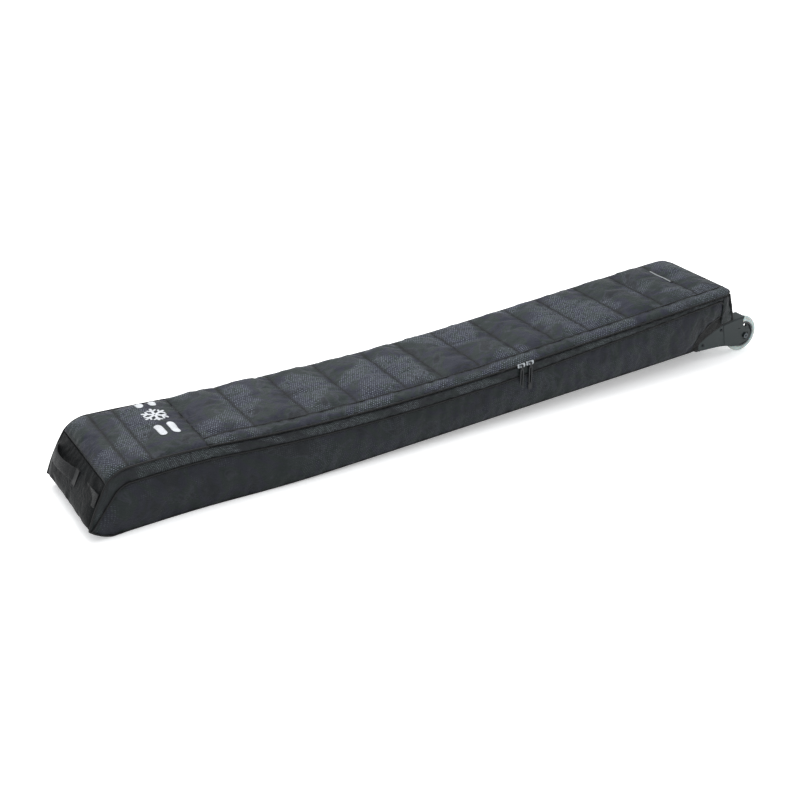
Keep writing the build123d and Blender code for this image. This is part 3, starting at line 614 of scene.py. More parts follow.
# ---------------------------------------------------------------- sewing
def stitches(name, run, normals, radius=0.0004):
    """A row of raised thread stitches along a run of points, on the surface with the given normals."""
    run, normals = np.asarray(run, float), np.asarray(normals, float)
    steps = lengths_along(run)
    gap, length, sides = 0.0046, 0.0032, 5
    shape = [(0.0, 0.45, -0.4), (0.2, 1.0, 0.4), (0.8, 1.0, 0.4), (1.0, 0.45, -0.4)]  # share, size, lift
    angles = np.arange(sides) * 2 * math.pi / sides
    vertices, faces = [], []
    for start in np.arange(gap * 0.5, steps[-1] - length, gap):
        a, b = at(start, steps, run), at(start + length, steps, run)
        up = at(start + length / 2, steps, normals)
        forward = (b - a) / max(np.linalg.norm(b - a), 1e-9)
        up = up - forward * (up @ forward)
        up /= np.linalg.norm(up)
        side = np.cross(forward, up)
        faces.extend(ring_faces(len(vertices), len(shape), sides))
        for share, size, lift in shape:
            centre = a + (b - a) * share + up * radius * lift
            for angle in angles:
                vertices.append(centre + radius * size * (math.cos(angle) * side + math.sin(angle) * up))
    return make_object(name, vertices, faces)


def along_blend(obj):
    """Bake the placement of a lid piece into its mesh; it is not attached to any body."""
    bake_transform(obj)


# ---------------------------------------------------------------- lid
def ease(distance, width, power=1.4):
    """0 well inside, rising to 1 at an edge: the rolled rim of a panel."""
    return (1 - np.sin(np.clip(np.asarray(distance) / width, 0, 1) * math.pi / 2)) ** power


def lid_half(s):
    inside = np.clip(np.asarray(s) - (LID_END - CORNER), 0, CORNER)
    return HALF - CORNER + np.sqrt(CORNER**2 - inside**2) - side_draw(s)


def lid_lift(s, front):
    """Height of the lid's outer surface above the zip line, with front measured from its front edge."""
    fall = np.maximum(0.0092 * ease(front, 0.03), 0.007 * ease(2 * HALF - front, 0.022))
    lift = 0.0105 - np.maximum(fall, 0.008 * ease(LID_END - s, 0.03))
    joined = np.clip((s - HOOD_END) / 0.06, 0, 1)
    return lift * joined + np.minimum(lift, 0.0035) * (1 - joined)


def lid_y(s, front, inset=0.0):
    """Place across the bag of a point of the lid, from its station and its distance from the front edge."""
    half = lid_half(s) - inset
    return -half + front / HALF * half


def between(s, seams):
    """Each station's section, its place in it as 0 to 1, and how far the nearest seam is."""
    edges = np.asarray(seams)
    index = np.clip(np.searchsorted(edges, s, side="right") - 1, 0, len(edges) - 2)
    share = (s - edges[index]) / (edges[index + 1] - edges[index])
    return index, share, np.min(np.abs(s[..., None] - edges), axis=-1)


def swell(share):
    """Height of a padded section between its seams, as 0 to 1."""
    return np.sin(math.pi * np.clip(share, 0, 1)) ** 0.6


SECTIONS = [HOOD_END, *LID_SEAMS, LID_END]
LID_COLUMNS = columns_between([HOOD_END, *LID_SEAMS, LID_END - CORNER, LID_END])
LID_ROWS = columns_between([0, 0.006, FLAP, 2 * HALF - 0.014, 2 * HALF])


def lid_grid(rows, inset=0.0):
    """Stations, distances from the front edge and plan positions of a sheet over the lid."""
    s, front = np.meshgrid(LID_COLUMNS, rows)
    return s, front, lid_y(s, front, inset)


def build_lid():
    s, front, y = lid_grid(LID_ROWS)
    index, share, near = between(s, SECTIONS)
    quilted = (front > FLAP + 1e-6) & (s < TAIL_SEAM)
    window = np.clip(1 - ease(front - FLAP, 0.03, 1.0) - ease(2 * HALF - front, 0.03, 1.0), 0, 1)
    height = 0.0065 + 0.0015 * noise(index * 3.3, y / 0.2, 11)
    puff = np.where(quilted, height * swell(share) * window, 0)
    uneven = 1 + 0.6 * noise(s / 0.07, front, 12)
    strip = np.where(front < FLAP, 0.0022 * np.sin(math.pi * front / FLAP) * uneven, 0)
    pucker = np.exp(-near / 0.02) * noise(y / 0.016, index * 5.1, 13) * 0.0020 * np.where(quilted, 1, 0.15)
    pucker *= window
    folds = creases(s / 0.06 + 0.5 * noise(s / 0.1, y / 0.1, 15), y / 0.085, 14) * 0.0011 * (near > 0.002)
    z = zip_z(s) + lid_lift(s, front) + puff + strip + pucker + folds
    drift = 0.0025 * noise(y / 0.05, s / 0.4, 16) * np.exp(-near / 0.01) * quilted
    lid = grid_object("lid_cloth", np.stack([s + drift, y, z], 2))

    edge = (front < 1e-6) | (front > 2 * HALF - 1e-6) | (s > LID_END - 1e-6) | (s < HOOD_END + 1e-6)
    seam_row = np.abs(front - FLAP) < 1e-6
    sewn = (near < 1e-6) & (front > FLAP - 1e-6)
    settle_later(lid, edge | seam_row | sewn, pressure=4.0, grow=0.03, cap=0.009)
    distance = np.minimum(np.where(front > FLAP - 1e-6, near, 1), np.abs(front - FLAP))
    set_painted_seam_shade(lid, np.minimum(distance, front + 0.002))
    return lid


def edge_path(inset=0.0, back_end=LID_SEAMS[1], step=0.004, end=LID_END):
    """Plan points round the lid's rim: along the front, round the tail and back along the hinge side."""
    turn = np.linspace(0, math.pi / 2, 16)
    straight = np.arange(HOOD_END, end - CORNER - step / 2, step)
    s = np.r_[straight, end - CORNER + (CORNER - inset) * np.sin(turn)]
    y = np.r_[0 * straight + HALF - inset, HALF - CORNER + (CORNER - inset) * np.cos(turn)] - side_draw(s)
    across = np.linspace(-y[-1], y[-1], 60)[1:-1]
    kept = s > back_end
    front, end_run = np.stack([s, -y], 1), np.stack([0 * across + end - inset, across], 1)
    return np.vstack([front, end_run, np.stack([s, y], 1)[kept][::-1]])


# ---------------------------------------------------------------- hood and head end
def build_hood():
    sections = [HOOD[0, 0], *HOOD_SEAMS, HOOD_END]
    rows = columns_between([-HALF, -HALF + 0.016, HALF - 0.016, HALF])
    s, y = np.meshgrid(columns_between(sections, 0.006), rows)
    index, share, near = between(s, sections)
    rim = HALF - np.abs(y)
    z = np.interp(s, HOOD[:, 0], HOOD[:, 1]) + 0.004 - 0.0075 * ease(rim, 0.02)
    z += 0.0050 * swell(share) * (1 - ease(rim, 0.05, 1.0))
    z += np.exp(-near / 0.015) * noise(y / 0.02, index * 4.1, 21) * 0.0012
    z += creases(s / 0.07, y / 0.09, 22) * 0.0010 * (near > 0.002)
    y = y * (1 - side_draw(s) / HALF)
    hood = grid_object("hood_cloth", np.stack([s, y, z], 2))
    settle_later(hood, (near < 1e-6) | (rim < 1e-6), pressure=4.0, grow=0.02, cap=0.007)
    set_painted_seam_shade(hood, np.minimum(near, rim + 0.003))
    return hood


def build_head_end():
    rows = 30
    v, y = np.meshgrid(np.linspace(0, 1, rows), columns_between([-HALF, HALF]), indexing="ij")
    s, z = (column[:, None] + 0 * y for column in along(HEAD_END, rows).T)
    rim = HALF - np.abs(y)
    out = 0.004 * np.sin(math.pi * v) ** 0.6 * (1 - ease(rim, 0.05, 1.0))
    out -= 0.004 * ease(rim, 0.012) * (v > 0.2)
    out += creases(y / 0.08, v * 2.2, 31) * 0.001 * np.sin(math.pi * v)
    s = s - out * 0.9
    z = z + out * 0.43 * (v > 0.3)
    drawn = 1 - side_draw(s) / HALF
    end = grid_object("head_end_cloth", np.stack([s, y * drawn, z], 2), flip=True)
    settle_later(end, (v < 0.3) | (v > 0.999) | (rim < 1e-6), pressure=3.0, grow=0.015, cap=0.005)
    set_painted_seam_shade(end, np.minimum(rim, (1 - v) * 0.14) + 0.002)
    return end


# ---------------------------------------------------------------- sides
def side_sheet(name, stops, rows, low, high, side, bulge, seed, crease, grow, cap):
    """A side panel between two curves, on the front (-1) or back (1), bellied out and creased."""
    columns = columns_between(stops)
    s, v = np.meshgrid(columns, np.linspace(0, 1, rows))
    z = low(s) + (high(s) - low(s)) * v
    fade = np.clip((s - columns[0]) / 0.05, 0, 1) * np.clip((columns[-1] - s) / 0.04, 0, 1)
    out = bulge * np.sin(math.pi * v) ** 0.7 * fade
    out += 0.5 * bulge * noise(s / 0.22, z / 0.09, seed) * np.sin(math.pi * v) * fade
    out += crease * creases(s / 0.05 + 0.5 * z / 0.05, z / 0.09, seed + 1) * np.sin(math.pi * v) * fade
    below_seam = np.exp(-(1 - v) / 0.35) * (1 - v) ** 0.3
    out += 1.2 * crease * noise(s / 0.021, z / 0.2, seed + 2) * below_seam * fade
    sheet = grid_object(name, np.stack([s, side_y(side, s, out), z], 2), flip=side > 0)
    pinned = (v < 1e-6) | (v > 1 - 1e-6) | (s < columns[0] + 1e-6) | (s > columns[-1] - 1e-6)
    settle_later(sheet, pinned, pressure=3.0, grow=grow, cap=cap)
    return sheet, s, z


def build_sides():
    """The front side panel, the band above it and the back side panel."""
    stops = [SIDE_START, HEEL, ARCH_START, SIDE_END]
    high = lambda s: lower_piping_z(s) - 0.0005
    front, s, z = side_sheet("front_side_cloth", stops, 17, low_z, high, -1, 0.004, 41, 0.0040, 0.02, 0.008)
    set_painted_seam_shade(front, np.minimum(lower_piping_z(s) - z + 0.001, z - low_z(s) + 0.002))

    stops = [SIDE_START, HEAD_TOP[0], HOOD_END, SIDE_END]
    low, high = (lambda s: lower_piping_z(s) + 0.0005), (lambda s: top_z(s) - 0.0035)
    band, s, z = side_sheet("gusset_cloth", stops, 8, low, high, -1, 0.0022, 51, 0.0016, 0.02, 0.004)
    set_painted_seam_shade(band, np.minimum(z - lower_piping_z(s), top_z(s) - z))

    stops = [SIDE_START, HEEL, HOOD_END, ARCH_START, SIDE_END]
    high = lambda s: top_z(s) - 0.0015
    back, s, z = side_sheet("back_side_cloth", stops, 24, low_z, high, 1, 0.003, 61, 0.0016, 0.015, 0.008)
    set_painted_seam_shade(back, np.minimum(top_z(s) - z, z - low_z(s)) + 0.001)
    return front, band, back


def build_bottom():
    columns = columns_between([HEEL, BASE_FLAT_END, BOTTOM_END, TRAY_X], 0.012)
    s, t = np.meshgrid(columns, columns_between([-1, 1], 0.05))
    y = t * (HALF - side_draw(s) - 0.0005)
    z = base_z(s) + 0.0004 + 0.0012 * np.abs(noise(s / 0.12, y / 0.08, 71)) * (1 - np.abs(t))
    on_to_tray = np.interp(s, [BOTTOM_END, TRAY_X], [float(base_z(BOTTOM_END)), TRAY_Z])
    z = np.where(s > BOTTOM_END, on_to_tray, z)
    return grid_object("bottom_cloth", np.stack([s, y, z], 2), flip=True)


# ---------------------------------------------------------------- tail
TAIL_HALF = HALF - float(side_draw(SIDE_END))
TURN_START = TAIL_END - CORNER


def corner_place(angle):
    """Plan point on the front tail corner, from 0 on the side to a quarter turn on the end."""
    return TURN_START + CORNER * math.sin(angle), -TAIL_HALF + CORNER * (1 - math.cos(angle))


def tail_plan():
    """Plan points round the tail from the front side to the back side."""
    first = [corner_place(a) for a in np.linspace(0, math.pi / 2, 14)]
    middle = [(TAIL_END, y) for y in np.linspace(-TAIL_HALF + CORNER, TAIL_HALF - CORNER, 34)[1:-1]]
    return np.array(first + middle + [(s, -y) for s, y in first[::-1]])


def cap_point(plan, share, out=0.0):
    """A point on the tail end wall: plan place, height share from 0 at the bottom to 1 at the zip."""
    s, y = plan
    turn = np.clip((s - TURN_START) / CORNER, 0, 1)
    z = CAP_LOW + (zip_z(s) - 0.0035 - CAP_LOW) * share
    lean = TAIL_LEAN * (TAIL_TOP - z) / (TAIL_TOP - TAIL_FOOT)
    return np.array([s + lean * turn + out * turn, y - out * np.sign(y) * (turn - 1), z])


def build_tail_cap():
    plan = tail_plan()
    heights = np.linspace(0, 1, 13)
    grid = np.array([[cap_point(place, share) for place in plan] for share in heights])
    run, v = np.meshgrid(lengths_along(plan), heights)
    gather = 0.0016 * noise(run / 0.013, v * 1.3, 81) * np.sin(math.pi * v) ** 0.5
    turn = np.clip((grid[:, :, 0] - TURN_START) / CORNER, 0, 1)
    belly = 0.004 * np.sin(math.pi * v)
    grid[:, :, 0] += (gather + belly) * turn
    grid[:, :, 1] += np.sign(grid[:, :, 1]) * (gather + belly) * (1 - turn)
    cap = grid_object("tail_end_cloth", grid)
    pinned = (v < 1e-6) | (v > 1 - 1e-6) | (run < 1e-6) | (run > run.max() - 1e-6)
    settle_later(cap, pinned, pressure=3.0, grow=0.03, cap=0.005)
    set_painted_seam_shade(cap, (1 - v) * 0.08 + 0.001)
    return cap


HOUSING_TOP = np.vstack(
    [[(1.854, 0.042)], arc_points((1.858, 0.067), (1.903, 0.091), (1.953, 0.110)), [(1.990, 0.1145)]]
)


def build_wheel_recess(name, side):
    """Turned-in fabric from the arch down to the wheel housing."""
    arch, housing = along(ARCH, 40), along(HOUSING_TOP, 40)
    rows = []
    for share in np.linspace(0, 1, 12):
        s, z = (arch * (1 - share) + housing * share).T
        depth = 0.0105 * (1 - (1 - min(share / 0.35, 1)) ** 2)
        rows.append(np.stack([s, side_y(side, s, -depth), z], 1))
    grid = np.array(rows)
    grid[1:-1, :, 1] += side * 0.0012 * noise(grid[1:-1, :, 0] / 0.02, grid[1:-1, :, 2] / 0.02, 91)
    return grid_object(name, grid, flip=side < 0)


# ---------------------------------------------------------------- piping and zip
def build_pipings():
    """Corded seams of the tub, as (object, replaced nodes)."""
    made = []
    s = np.r_[np.linspace(0.0085, 0.125, 60), np.linspace(0.13, SIDE_END - 0.016, 420)]
    z = lower_piping_z(s)
    lower = np.stack([s, side_y(-1, s, 0.0008), z], 1)
    last_z = float(z[-1])
    turn_points = (SIDE_END - 0.016, last_z), (SIDE_END - 0.002, last_z - 0.007), (SIDE_END + 0.004, 0.150)
    turn = arc_points(*turn_points, 14)[1:]
    down = np.stack([turn[:, 0], np.full(len(turn), -TAIL_HALF - 0.0005), turn[:, 1]], 1)
    made.append((tube("lower_piping_cord", np.vstack([lower, down]), CORD), "lower_piping_front"))
    s = np.linspace(HOOD_END, LID_END - CORNER, 420)
    hinge = np.stack([s, side_y(1, s, -0.0006), zip_z(s) + 0.0006], 1)
    made.append((tube("hinge_piping_cord", hinge, CORD), None))
    rim = along(np.vstack([HEAD_END, HOOD[1:]]), 150)
    rim_z = np.maximum(rim[:, 1] - 0.0012, CORD + 0.0001)
    arch = along(ARCH, 60)
    s = np.linspace(HEEL - 0.002, 1.818, 300)
    for side, name in SIDES:
        path = np.stack([rim[:, 0] + 0.0012, side_y(side, rim[:, 0], 0.0002), rim_z], 1)
        made.append((tube("head_piping_cord_" + name, path, CORD), "head_piping_" + name))
        path = np.stack([arch[:, 0], side_y(side, arch[:, 0], -0.0002), arch[:, 1]], 1)
        made.append((tube("arch_piping_" + name, path, 0.0023), "arch_binding_" + name))
        path = np.stack([s, side_y(side, s, -0.0004), base_z(s) + 0.0026], 1)
        made.append((tube("base_binding_" + name, path, 0.0025), None))
        cap = np.array([cap_point(corner_place(0.80), share, 0.0045) for share in np.linspace(1, 0, 24)])
        made.append((tube("tail_piping_" + name, cap * (1, -side, 1), 0.0034), None))
    return made


def build_lid_pipings():
    """The thin corded seams that turn with the lid."""
    s = np.linspace(HOOD_END, LID_END, 900)
    seam = np.stack([s, lid_y(s, FLAP), zip_z(s) + lid_lift(s, FLAP) + 0.0004], 1)
    path = edge_path()
    s, y = path.T
    hinge_side = np.clip(y / 0.05, 0, 1) * (s < LID_END - CORNER)
    rim = np.c_[path, zip_z(s) + 0.0022 * (1 + hinge_side)]
    return tube("flap_piping_cord", seam, 0.0013, 8), tube("lid_edge_binding", rim, 0.0019, 8)


def build_zip_row(name, path, height, pitch=0.0022):
    """Coil loops along a zip line; each is a small bent bead across the line."""
    steps = lengths_along(path)
    out = np.gradient(path, axis=0)
    out = np.stack([out[:, 1], -out[:, 0]], 1)
    out /= np.linalg.norm(out, axis=1, keepdims=True)
    shape = (-0.0030, 0.5), (-0.0022, 1.0), (-0.0002, 1.0), (0.0006, 0.6)  # reach outwards, size
    angles = np.arange(6) * math.pi / 3
    vertices, faces = [], []
    for t in np.arange(pitch, steps[-1], pitch):
        place, facing = at(t, steps, path), at(t, steps, out)
        facing /= np.linalg.norm(facing)
        side = np.array([-facing[1], facing[0]])
        z = float(zip_z(place[0])) + height
        faces.extend(ring_faces(len(vertices), len(shape), len(angles)))
        for reach, size in shape:
            centre = place + facing * reach
            for angle in angles:
                shift = side * math.cos(angle) * 0.00085 * size
                vertices.append((*(centre + shift + (HEAD_X, 0)), z + math.sin(angle) * 0.0010 * size))
    return make_object(name, vertices, faces)


def build_tape(name, path, low, high):
    """Flat tape behind a zip row."""
    rows = [np.c_[path, zip_z(path[:, 0]) + level] for level in np.linspace(low, high, 4)]
    return finish_cloth(grid_object(name, rows), 0.0012, levels=0)


# ---------------------------------------------------------------- inside
def channels(s):
    """Height of the quilted channels across the lining, as 0 to 1."""
    return np.abs(np.sin(s / 0.10 * math.pi)) ** 0.5


def build_wall_lining(name, side):
    s, v = np.meshgrid(columns_between([0.062, 1.806], 0.010), np.linspace(0, 1, 12))
    low = base_z(s) + 0.0095
    high = np.minimum(zip_z(s) - 0.006, np.interp(s, [0.062, 0.080, 0.12], [0.085, 0.122, 0.145]))
    puff = (0.0026 * channels(s) + 0.0008 * creases(s / 0.05, v * 2, 101)) * np.sin(math.pi * v) ** 0.4
    grid = np.stack([s, side_y(side, s, -0.0060 - puff), low + (high - low) * v], 2)
    return grid_object(name, grid, flip=side < 0)


def build_floor_lining():
    s, t = np.meshgrid(columns_between([0.058, BASE_FLAT_END, 1.810], 0.010), columns_between([-1, 1], 0.06))
    y = t * (HALF - side_draw(s) - 0.0075)
    puff = 0.0012 * channels(s) * np.abs(np.sin((t + 1) * math.pi * 1.5)) ** 0.5
    return grid_object("floor_padding", np.stack([s, y, base_z(s) + 0.0086 + puff], 2))


def build_head_lining():
    profile = along(HEAD_END, 24)
    tangent = np.gradient(profile, axis=0)
    tangent /= np.linalg.norm(tangent, axis=1, keepdims=True)
    inner = profile + np.stack([tangent[:, 1], -tangent[:, 0]], 1) * 0.0088
    across = columns_between([-HALF + 0.009, HALF - 0.009], 0.010)
    return grid_object("head_end_padding", [[(s, y, z) for y in across] for s, z in inner])


def build_lid_lining():
    s, front, y = lid_grid(columns_between([0, 2 * HALF], 0.010), inset=0.007)
    s = np.minimum(s, LID_END - 0.007)
    share = between(s, SECTIONS)[1]
    z = zip_z(s) + 0.0032 - 0.0012 * swell(share) * np.sin(math.pi * front / (2 * HALF)) ** 0.4
    z += 0.0006 * creases(s / 0.05, y / 0.06, 111)
    return grid_object("lid_lining_cloth", np.stack([s, y, z], 2), flip=True)


def build_ski_strap(name, node):
    """Webbing tie across the floor, with a free end that has passed through its buckle."""
    low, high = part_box(node)
    middle = (low.x + high.x) / 2 - HEAD_X
    width = high.x - low.x
    y = np.linspace(low.y + 0.004, high.y - 0.004, 90)
    hump = 0.0046 * np.exp(-((y / 0.024) ** 4)) + 0.0008 * np.sin(y / 0.02)
    end_rise = 0.016 * (np.clip(np.abs(y) - 0.128, 0, 1) / 0.018) ** 2
    z = float(base_z(middle)) + 0.0098 + hump + end_rise
    rows = [np.stack([0 * y + middle + share * width, y, z], 1) for share in np.linspace(0.5, -0.5, 5)]
    return finish_cloth(grid_object(name, rows), 0.0014)


# ---------------------------------------------------------------- handles
FACE_ORIGIN = np.array([0.0345, 0.0, 0.100])
FACE_OUT = np.array([-0.9, 0, 0.436])
FACE_UP = np.array([0.436, 0, 0.9])
STRAP_END = 0.150  # distance from the middle of the end face


def on_head_face(out, across, up):
    """A point from its distance out of the end face, towards the front side, and up the face."""
    return FACE_ORIGIN + FACE_OUT * out + np.array([0, -1.0, 0]) * across + FACE_UP * up


def build_sleeve():
    """Padded grip: a flat tube of cloth over webbing, puffed between its stitched edges."""
    rings, sides = 64, 28
    inner = arc_points((0.002, -0.138), (0.024, -0.072), (0.0035, 0.014), rings)
    outer = arc_points((0.0045, -0.142), (0.030, -0.072), (0.0085, 0.014), rings)
    vertices, uvs = [], []
    run = lengths_along(outer)
    for i, share in enumerate(np.linspace(0, 1, rings)):
        centre, half = (inner[i] + outer[i]) / 2, np.linalg.norm(outer[i] - inner[i]) / 2
        direction = (outer[i] - inner[i]) / (2 * half)
        plump = 0.0012 * math.sin(math.pi * share) ** 0.5 + 0.0006 * float(noise(share * 14, 0.3, 121))
        height = 0.0158 - 0.0022 * math.sin(math.pi * share) ** 2
        for j in range(sides):
            a = 2 * math.pi * j / sides
            flat = math.copysign(abs(math.sin(a)) ** 0.55, math.sin(a))
            wide = math.copysign(abs(math.cos(a)) ** 0.75, math.cos(a))
            place = centre + direction * (half + plump) * flat
            vertices.append(on_head_face(place[0], place[1], wide * height) + (HEAD_X, 0, 0))
            uvs.append((run[i], a * 0.012))
    faces = [face[::-1] for face in ring_faces(0, rings, sides)]
    sleeve = make_object("handle_sleeve", vertices, faces, uvs)
    smooth_out(sleeve)
    return sleeve


def strap_out(across):
    """How far the handle webbing stands out of the end face: it waves a little towards its middle."""
    return 0.0046 + 0.0008 * np.sin(across / 0.016) * np.clip((STRAP_END - across) / 0.06, 0, 1)


def build_head_strap():
    """Flat webbing from under the keeper to the front corner, with a turned-under end."""
    across = np.linspace(0.0345, STRAP_END, 60)
    out = strap_out(across) - 0.0022 * np.exp(-(((across - STRAP_END) / 0.006) ** 2))
    rows = [[on_head_face(o, a, up) for o, a in zip(out, across)] for up in np.linspace(-0.0165, 0.0165, 9)]
    return finish_cloth(grid_object("handle_strap", rows, flip=True), 0.0024)


def strap_lines(name, runs):
    """Stitch rows on the handle webbing, each run as (start, end) in (across, up)."""
    pieces = []
    for number, (a, b) in enumerate(runs):
        line = np.linspace(a, b, 40)
        points = [on_head_face(strap_out(p[0]), *p) + (HEAD_X, 0, 0) for p in line]
        pieces.append(stitches(f"{name}_{number}", points, np.tile(FACE_OUT, (40, 1)), radius=0.0005))
    return join(name, pieces)


def join(name, pieces):
    """One object from several."""
    vertices, faces = [], []
    for piece in pieces:
        first = len(vertices)
        vertices.extend(tuple(v.co) for v in piece.data.vertices)
        faces.extend(tuple(first + i for i in p.vertices) for p in piece.data.polygons)
        bpy.data.objects.remove(piece)
    return make_object(name, vertices, faces)


def build_tail_handle():
    """Webbing loop on the leaning end wall, sewn down at both ends."""
    low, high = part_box("tail_handle")
    middle = (low.z + high.z) / 2
    wall = TAIL_END + TAIL_LEAN * (TAIL_TOP - middle) / (TAIL_TOP - TAIL_FOOT)
    lean = math.atan(TAIL_LEAN / (TAIL_TOP - TAIL_FOOT))
    outward, upward = (math.cos(lean), math.sin(lean)), (-math.sin(lean), math.cos(lean))
    arc = arc_points((0.0022, -0.080), (0.0235, 0.0), (0.0022, 0.080), 70)
    rows = []
    for up in np.linspace(-0.0135, 0.0135, 7):
        s = wall + arc[:, 0] * outward[0] + up * upward[0]
        rows.append(np.stack([s, arc[:, 1], middle + arc[:, 0] * outward[1] + up * upward[1]], 1))
    return finish_cloth(grid_object("tail_grab_webbing", rows), 0.0032)


# ---------------------------------------------------------------- small sewn pieces
def build_label(name, first, last, lift):
    """A strip of the blank folded label sewn into the tail seam, from one share of its width to another."""
    low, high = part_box("label_tab")
    y = np.linspace(low.y, high.y, 30)
    start, end = low.x - HEAD_X, high.x - HEAD_X
    rows = []
    for share in np.linspace(first, last, 8):
        s = start + (end - start) * share
        z = zip_z(s) + lift + 0.004 * math.sin((1 - share) * math.pi * 0.55) + 0.0006 * np.sin(y / 0.012)
        rows.append(np.stack([0 * y + s, y, z], 1))
    return finish_cloth(grid_object(name, rows), 0.0012)


def surface_tree(obj):
    """A search tree over a sheet as it is shaped now, before it has its thickness."""
    graph = bpy.context.evaluated_depsgraph_get()
    graph.update()
    return BVHTree.FromObject(obj, graph)


def height_of(tree, s, y):
    """The point on a surface straight below a place, and its normal."""
    return tree.ray_cast(Vector((s + HEAD_X, y, 0.4)), Vector((0, 0, -1)))[:2]


def front_of(tree, s, z):
    """The point on a front surface straight behind a place, and its normal."""
    return tree.ray_cast(Vector((s + HEAD_X, -0.3, z)), Vector((0, 1, 0)))[:2]


def sew(name, tree, run, probe=height_of):
    """Stitches where a surface is hit, from (station, y) with height_of or (station, z) with front_of."""
    hits = [probe(tree, *place) for place in run]
    points, normals = zip(*[hit for hit in hits if hit[0] is not None])
    return stitches(name, points, normals)


def build_hood_mark(tree):
    """A plain snowflake with a rounded bar on each side of it, printed across the hood."""
    centre, arm, width = np.array([0.2525, 0.038]), 0.034, 0.0068
    vertices, faces, uvs = [], [], []

    def band(a, b, thick, cells=10):
        """A strip from a to b with rounded ends."""
        a, b = np.array(a), np.array(b)
        length = np.linalg.norm(b - a)
        forward = (b - a) / length
        side = np.array([-forward[1], forward[0]]) * thick / 2
        round_end = thick / 2 / length
        shares = np.r_[0, 0.15, 0.5, 1] * round_end
        shares = np.r_[shares, np.linspace(round_end, 1 - round_end, cells)[1:-1], 1 - shares[::-1]]
        first = len(vertices)
        for share in shares:
            inside = min(share, 1 - share) / round_end
            reach = math.sqrt(max(1 - max(1 - inside, 0) ** 2, 0.02))
            for step in np.linspace(-1, 1, 5):
                place = a + (b - a) * share + side * step * reach
                point, normal = height_of(tree, *place)
                vertices.append(np.array(point) + np.array(normal) * 0.0006)
                uvs.append(tuple(place))
        for i in range(len(shares) - 1):
            for j in range(4):
                k = first + i * 5 + j
                faces.append((k, k + 1, k + 6, k + 5))

    for turn in range(6):
        angle = math.radians(60 * turn + 30)
        ahead = np.array([math.cos(angle), math.sin(angle)])
        band(centre + ahead * 0.002, centre + ahead * arm, width)
        for lean in (-1, 1):
            branch = angle + lean * math.radians(55)
            start = centre + ahead * arm * 0.52
            band(start, start + 0.0145 * np.array([math.cos(branch), math.sin(branch)]), width * 0.8, 6)
    for s in (0.236, 0.269):
        band((s, -0.072), (s, -0.012), 0.019, 24)
        band((s, 0.088), (s, 0.140), 0.019, 22)
    mark = make_object("hood_print", vertices, faces, uvs)
    solid = mark.modifiers.new("thickness", "SOLIDIFY")
    solid.thickness = 0.0004
    return mark


# ---------------------------------------------------------------- camera, light and floor
def set_stage():
    camera = bpy.data.objects.new("camera", bpy.data.cameras.new("camera"))
    camera.location = (-1.7279, -2.7052, 1.6655)
    camera.rotation_euler = (math.radians(63.015), 0, math.radians(-30.685))
    camera.data.lens = 59.06
    camera.data.sensor_width = 36
    bpy.context.scene.collection.objects.link(camera)
    bpy.context.scene.camera = camera
    bpy.context.scene.view_settings.view_transform = "Standard"

    corners = [(-9, -9, 0), (9, -9, 0), (9, 9, 0), (-9, 9, 0)]
    floor = make_object("floor", corners, [(0, 1, 2, 3)], smooth=False)
    made, shader = material("floor_white")[:2]
    set_inputs(shader, {"Base Color": (0.93, 0.93, 0.93, 1), "Roughness": 0.9, "Specular IOR Level": 0.0})
    set_inputs(shader, {"Emission Color": (1, 1, 1, 1), "Emission Strength": 0.3})
    floor.data.materials.append(made)
    floor.location.z = cad_low.z - 0.0005

    world = bpy.data.worlds.new("studio")
    world.use_nodes = True
    set_inputs(world.node_tree.nodes["Background"], {"Color": (0.97, 0.985, 1.0, 1), "Strength": 1.0})
    bpy.context.scene.world = world

    for name, place, size, power in (
        ("top_softbox", (-0.3, 0.9, 2.6), 2.6, 80.0),
        ("head_softbox", (-2.6, -1.6, 1.8), 1.6, 2.0),
        ("tail_softbox", (2.4, -1.6, 1.6), 1.4, 8.0),
    ):
        lamp = bpy.data.lights.new(name, "AREA")
        lamp.size = size
        lamp.energy = power
        made = bpy.data.objects.new(name, lamp)
        made.location = place
        made.rotation_euler = (Vector((0.1, 0, 0.1)) - Vector(place)).to_track_quat("-Z", "Y").to_euler()
        bpy.context.scene.collection.objects.link(made)


# ---------------------------------------------------------------- the bag
def on(obj, body, made, slot, *nodes):
    """Finish a piece: its material, the body it rides on and the CAD nodes it stands for; slot is not used.
    """
    obj.data.materials.clear()
    obj.data.materials.append(made)
    if body == "lid":
        along_blend(obj)
    else:
        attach(obj, body)
    if nodes:
        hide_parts(*nodes)
    return obj


set_stage()

lid, hood, head_end = build_lid(), build_hood(), build_head_end()
front_side, gusset, back_side = build_sides()
tail_cap = build_tail_cap()
settle()

shell = (lid, hood, head_end, front_side, gusset, back_side, tail_cap)
for piece in shell:
    smooth_out(piece)

lid_tree, hood_tree = surface_tree(lid), surface_tree(hood)
front_tree, gusset_tree = surface_tree(front_side), surface_tree(gusset)


def lid_plan(front):
    s = np.linspace(HOOD_END + 0.003, LID_END - 0.004, 900)
    return np.stack([s, lid_y(s, front)], 1)


def cross_run(s, start, end):
    return np.linspace((s, start), (s, end), 90)


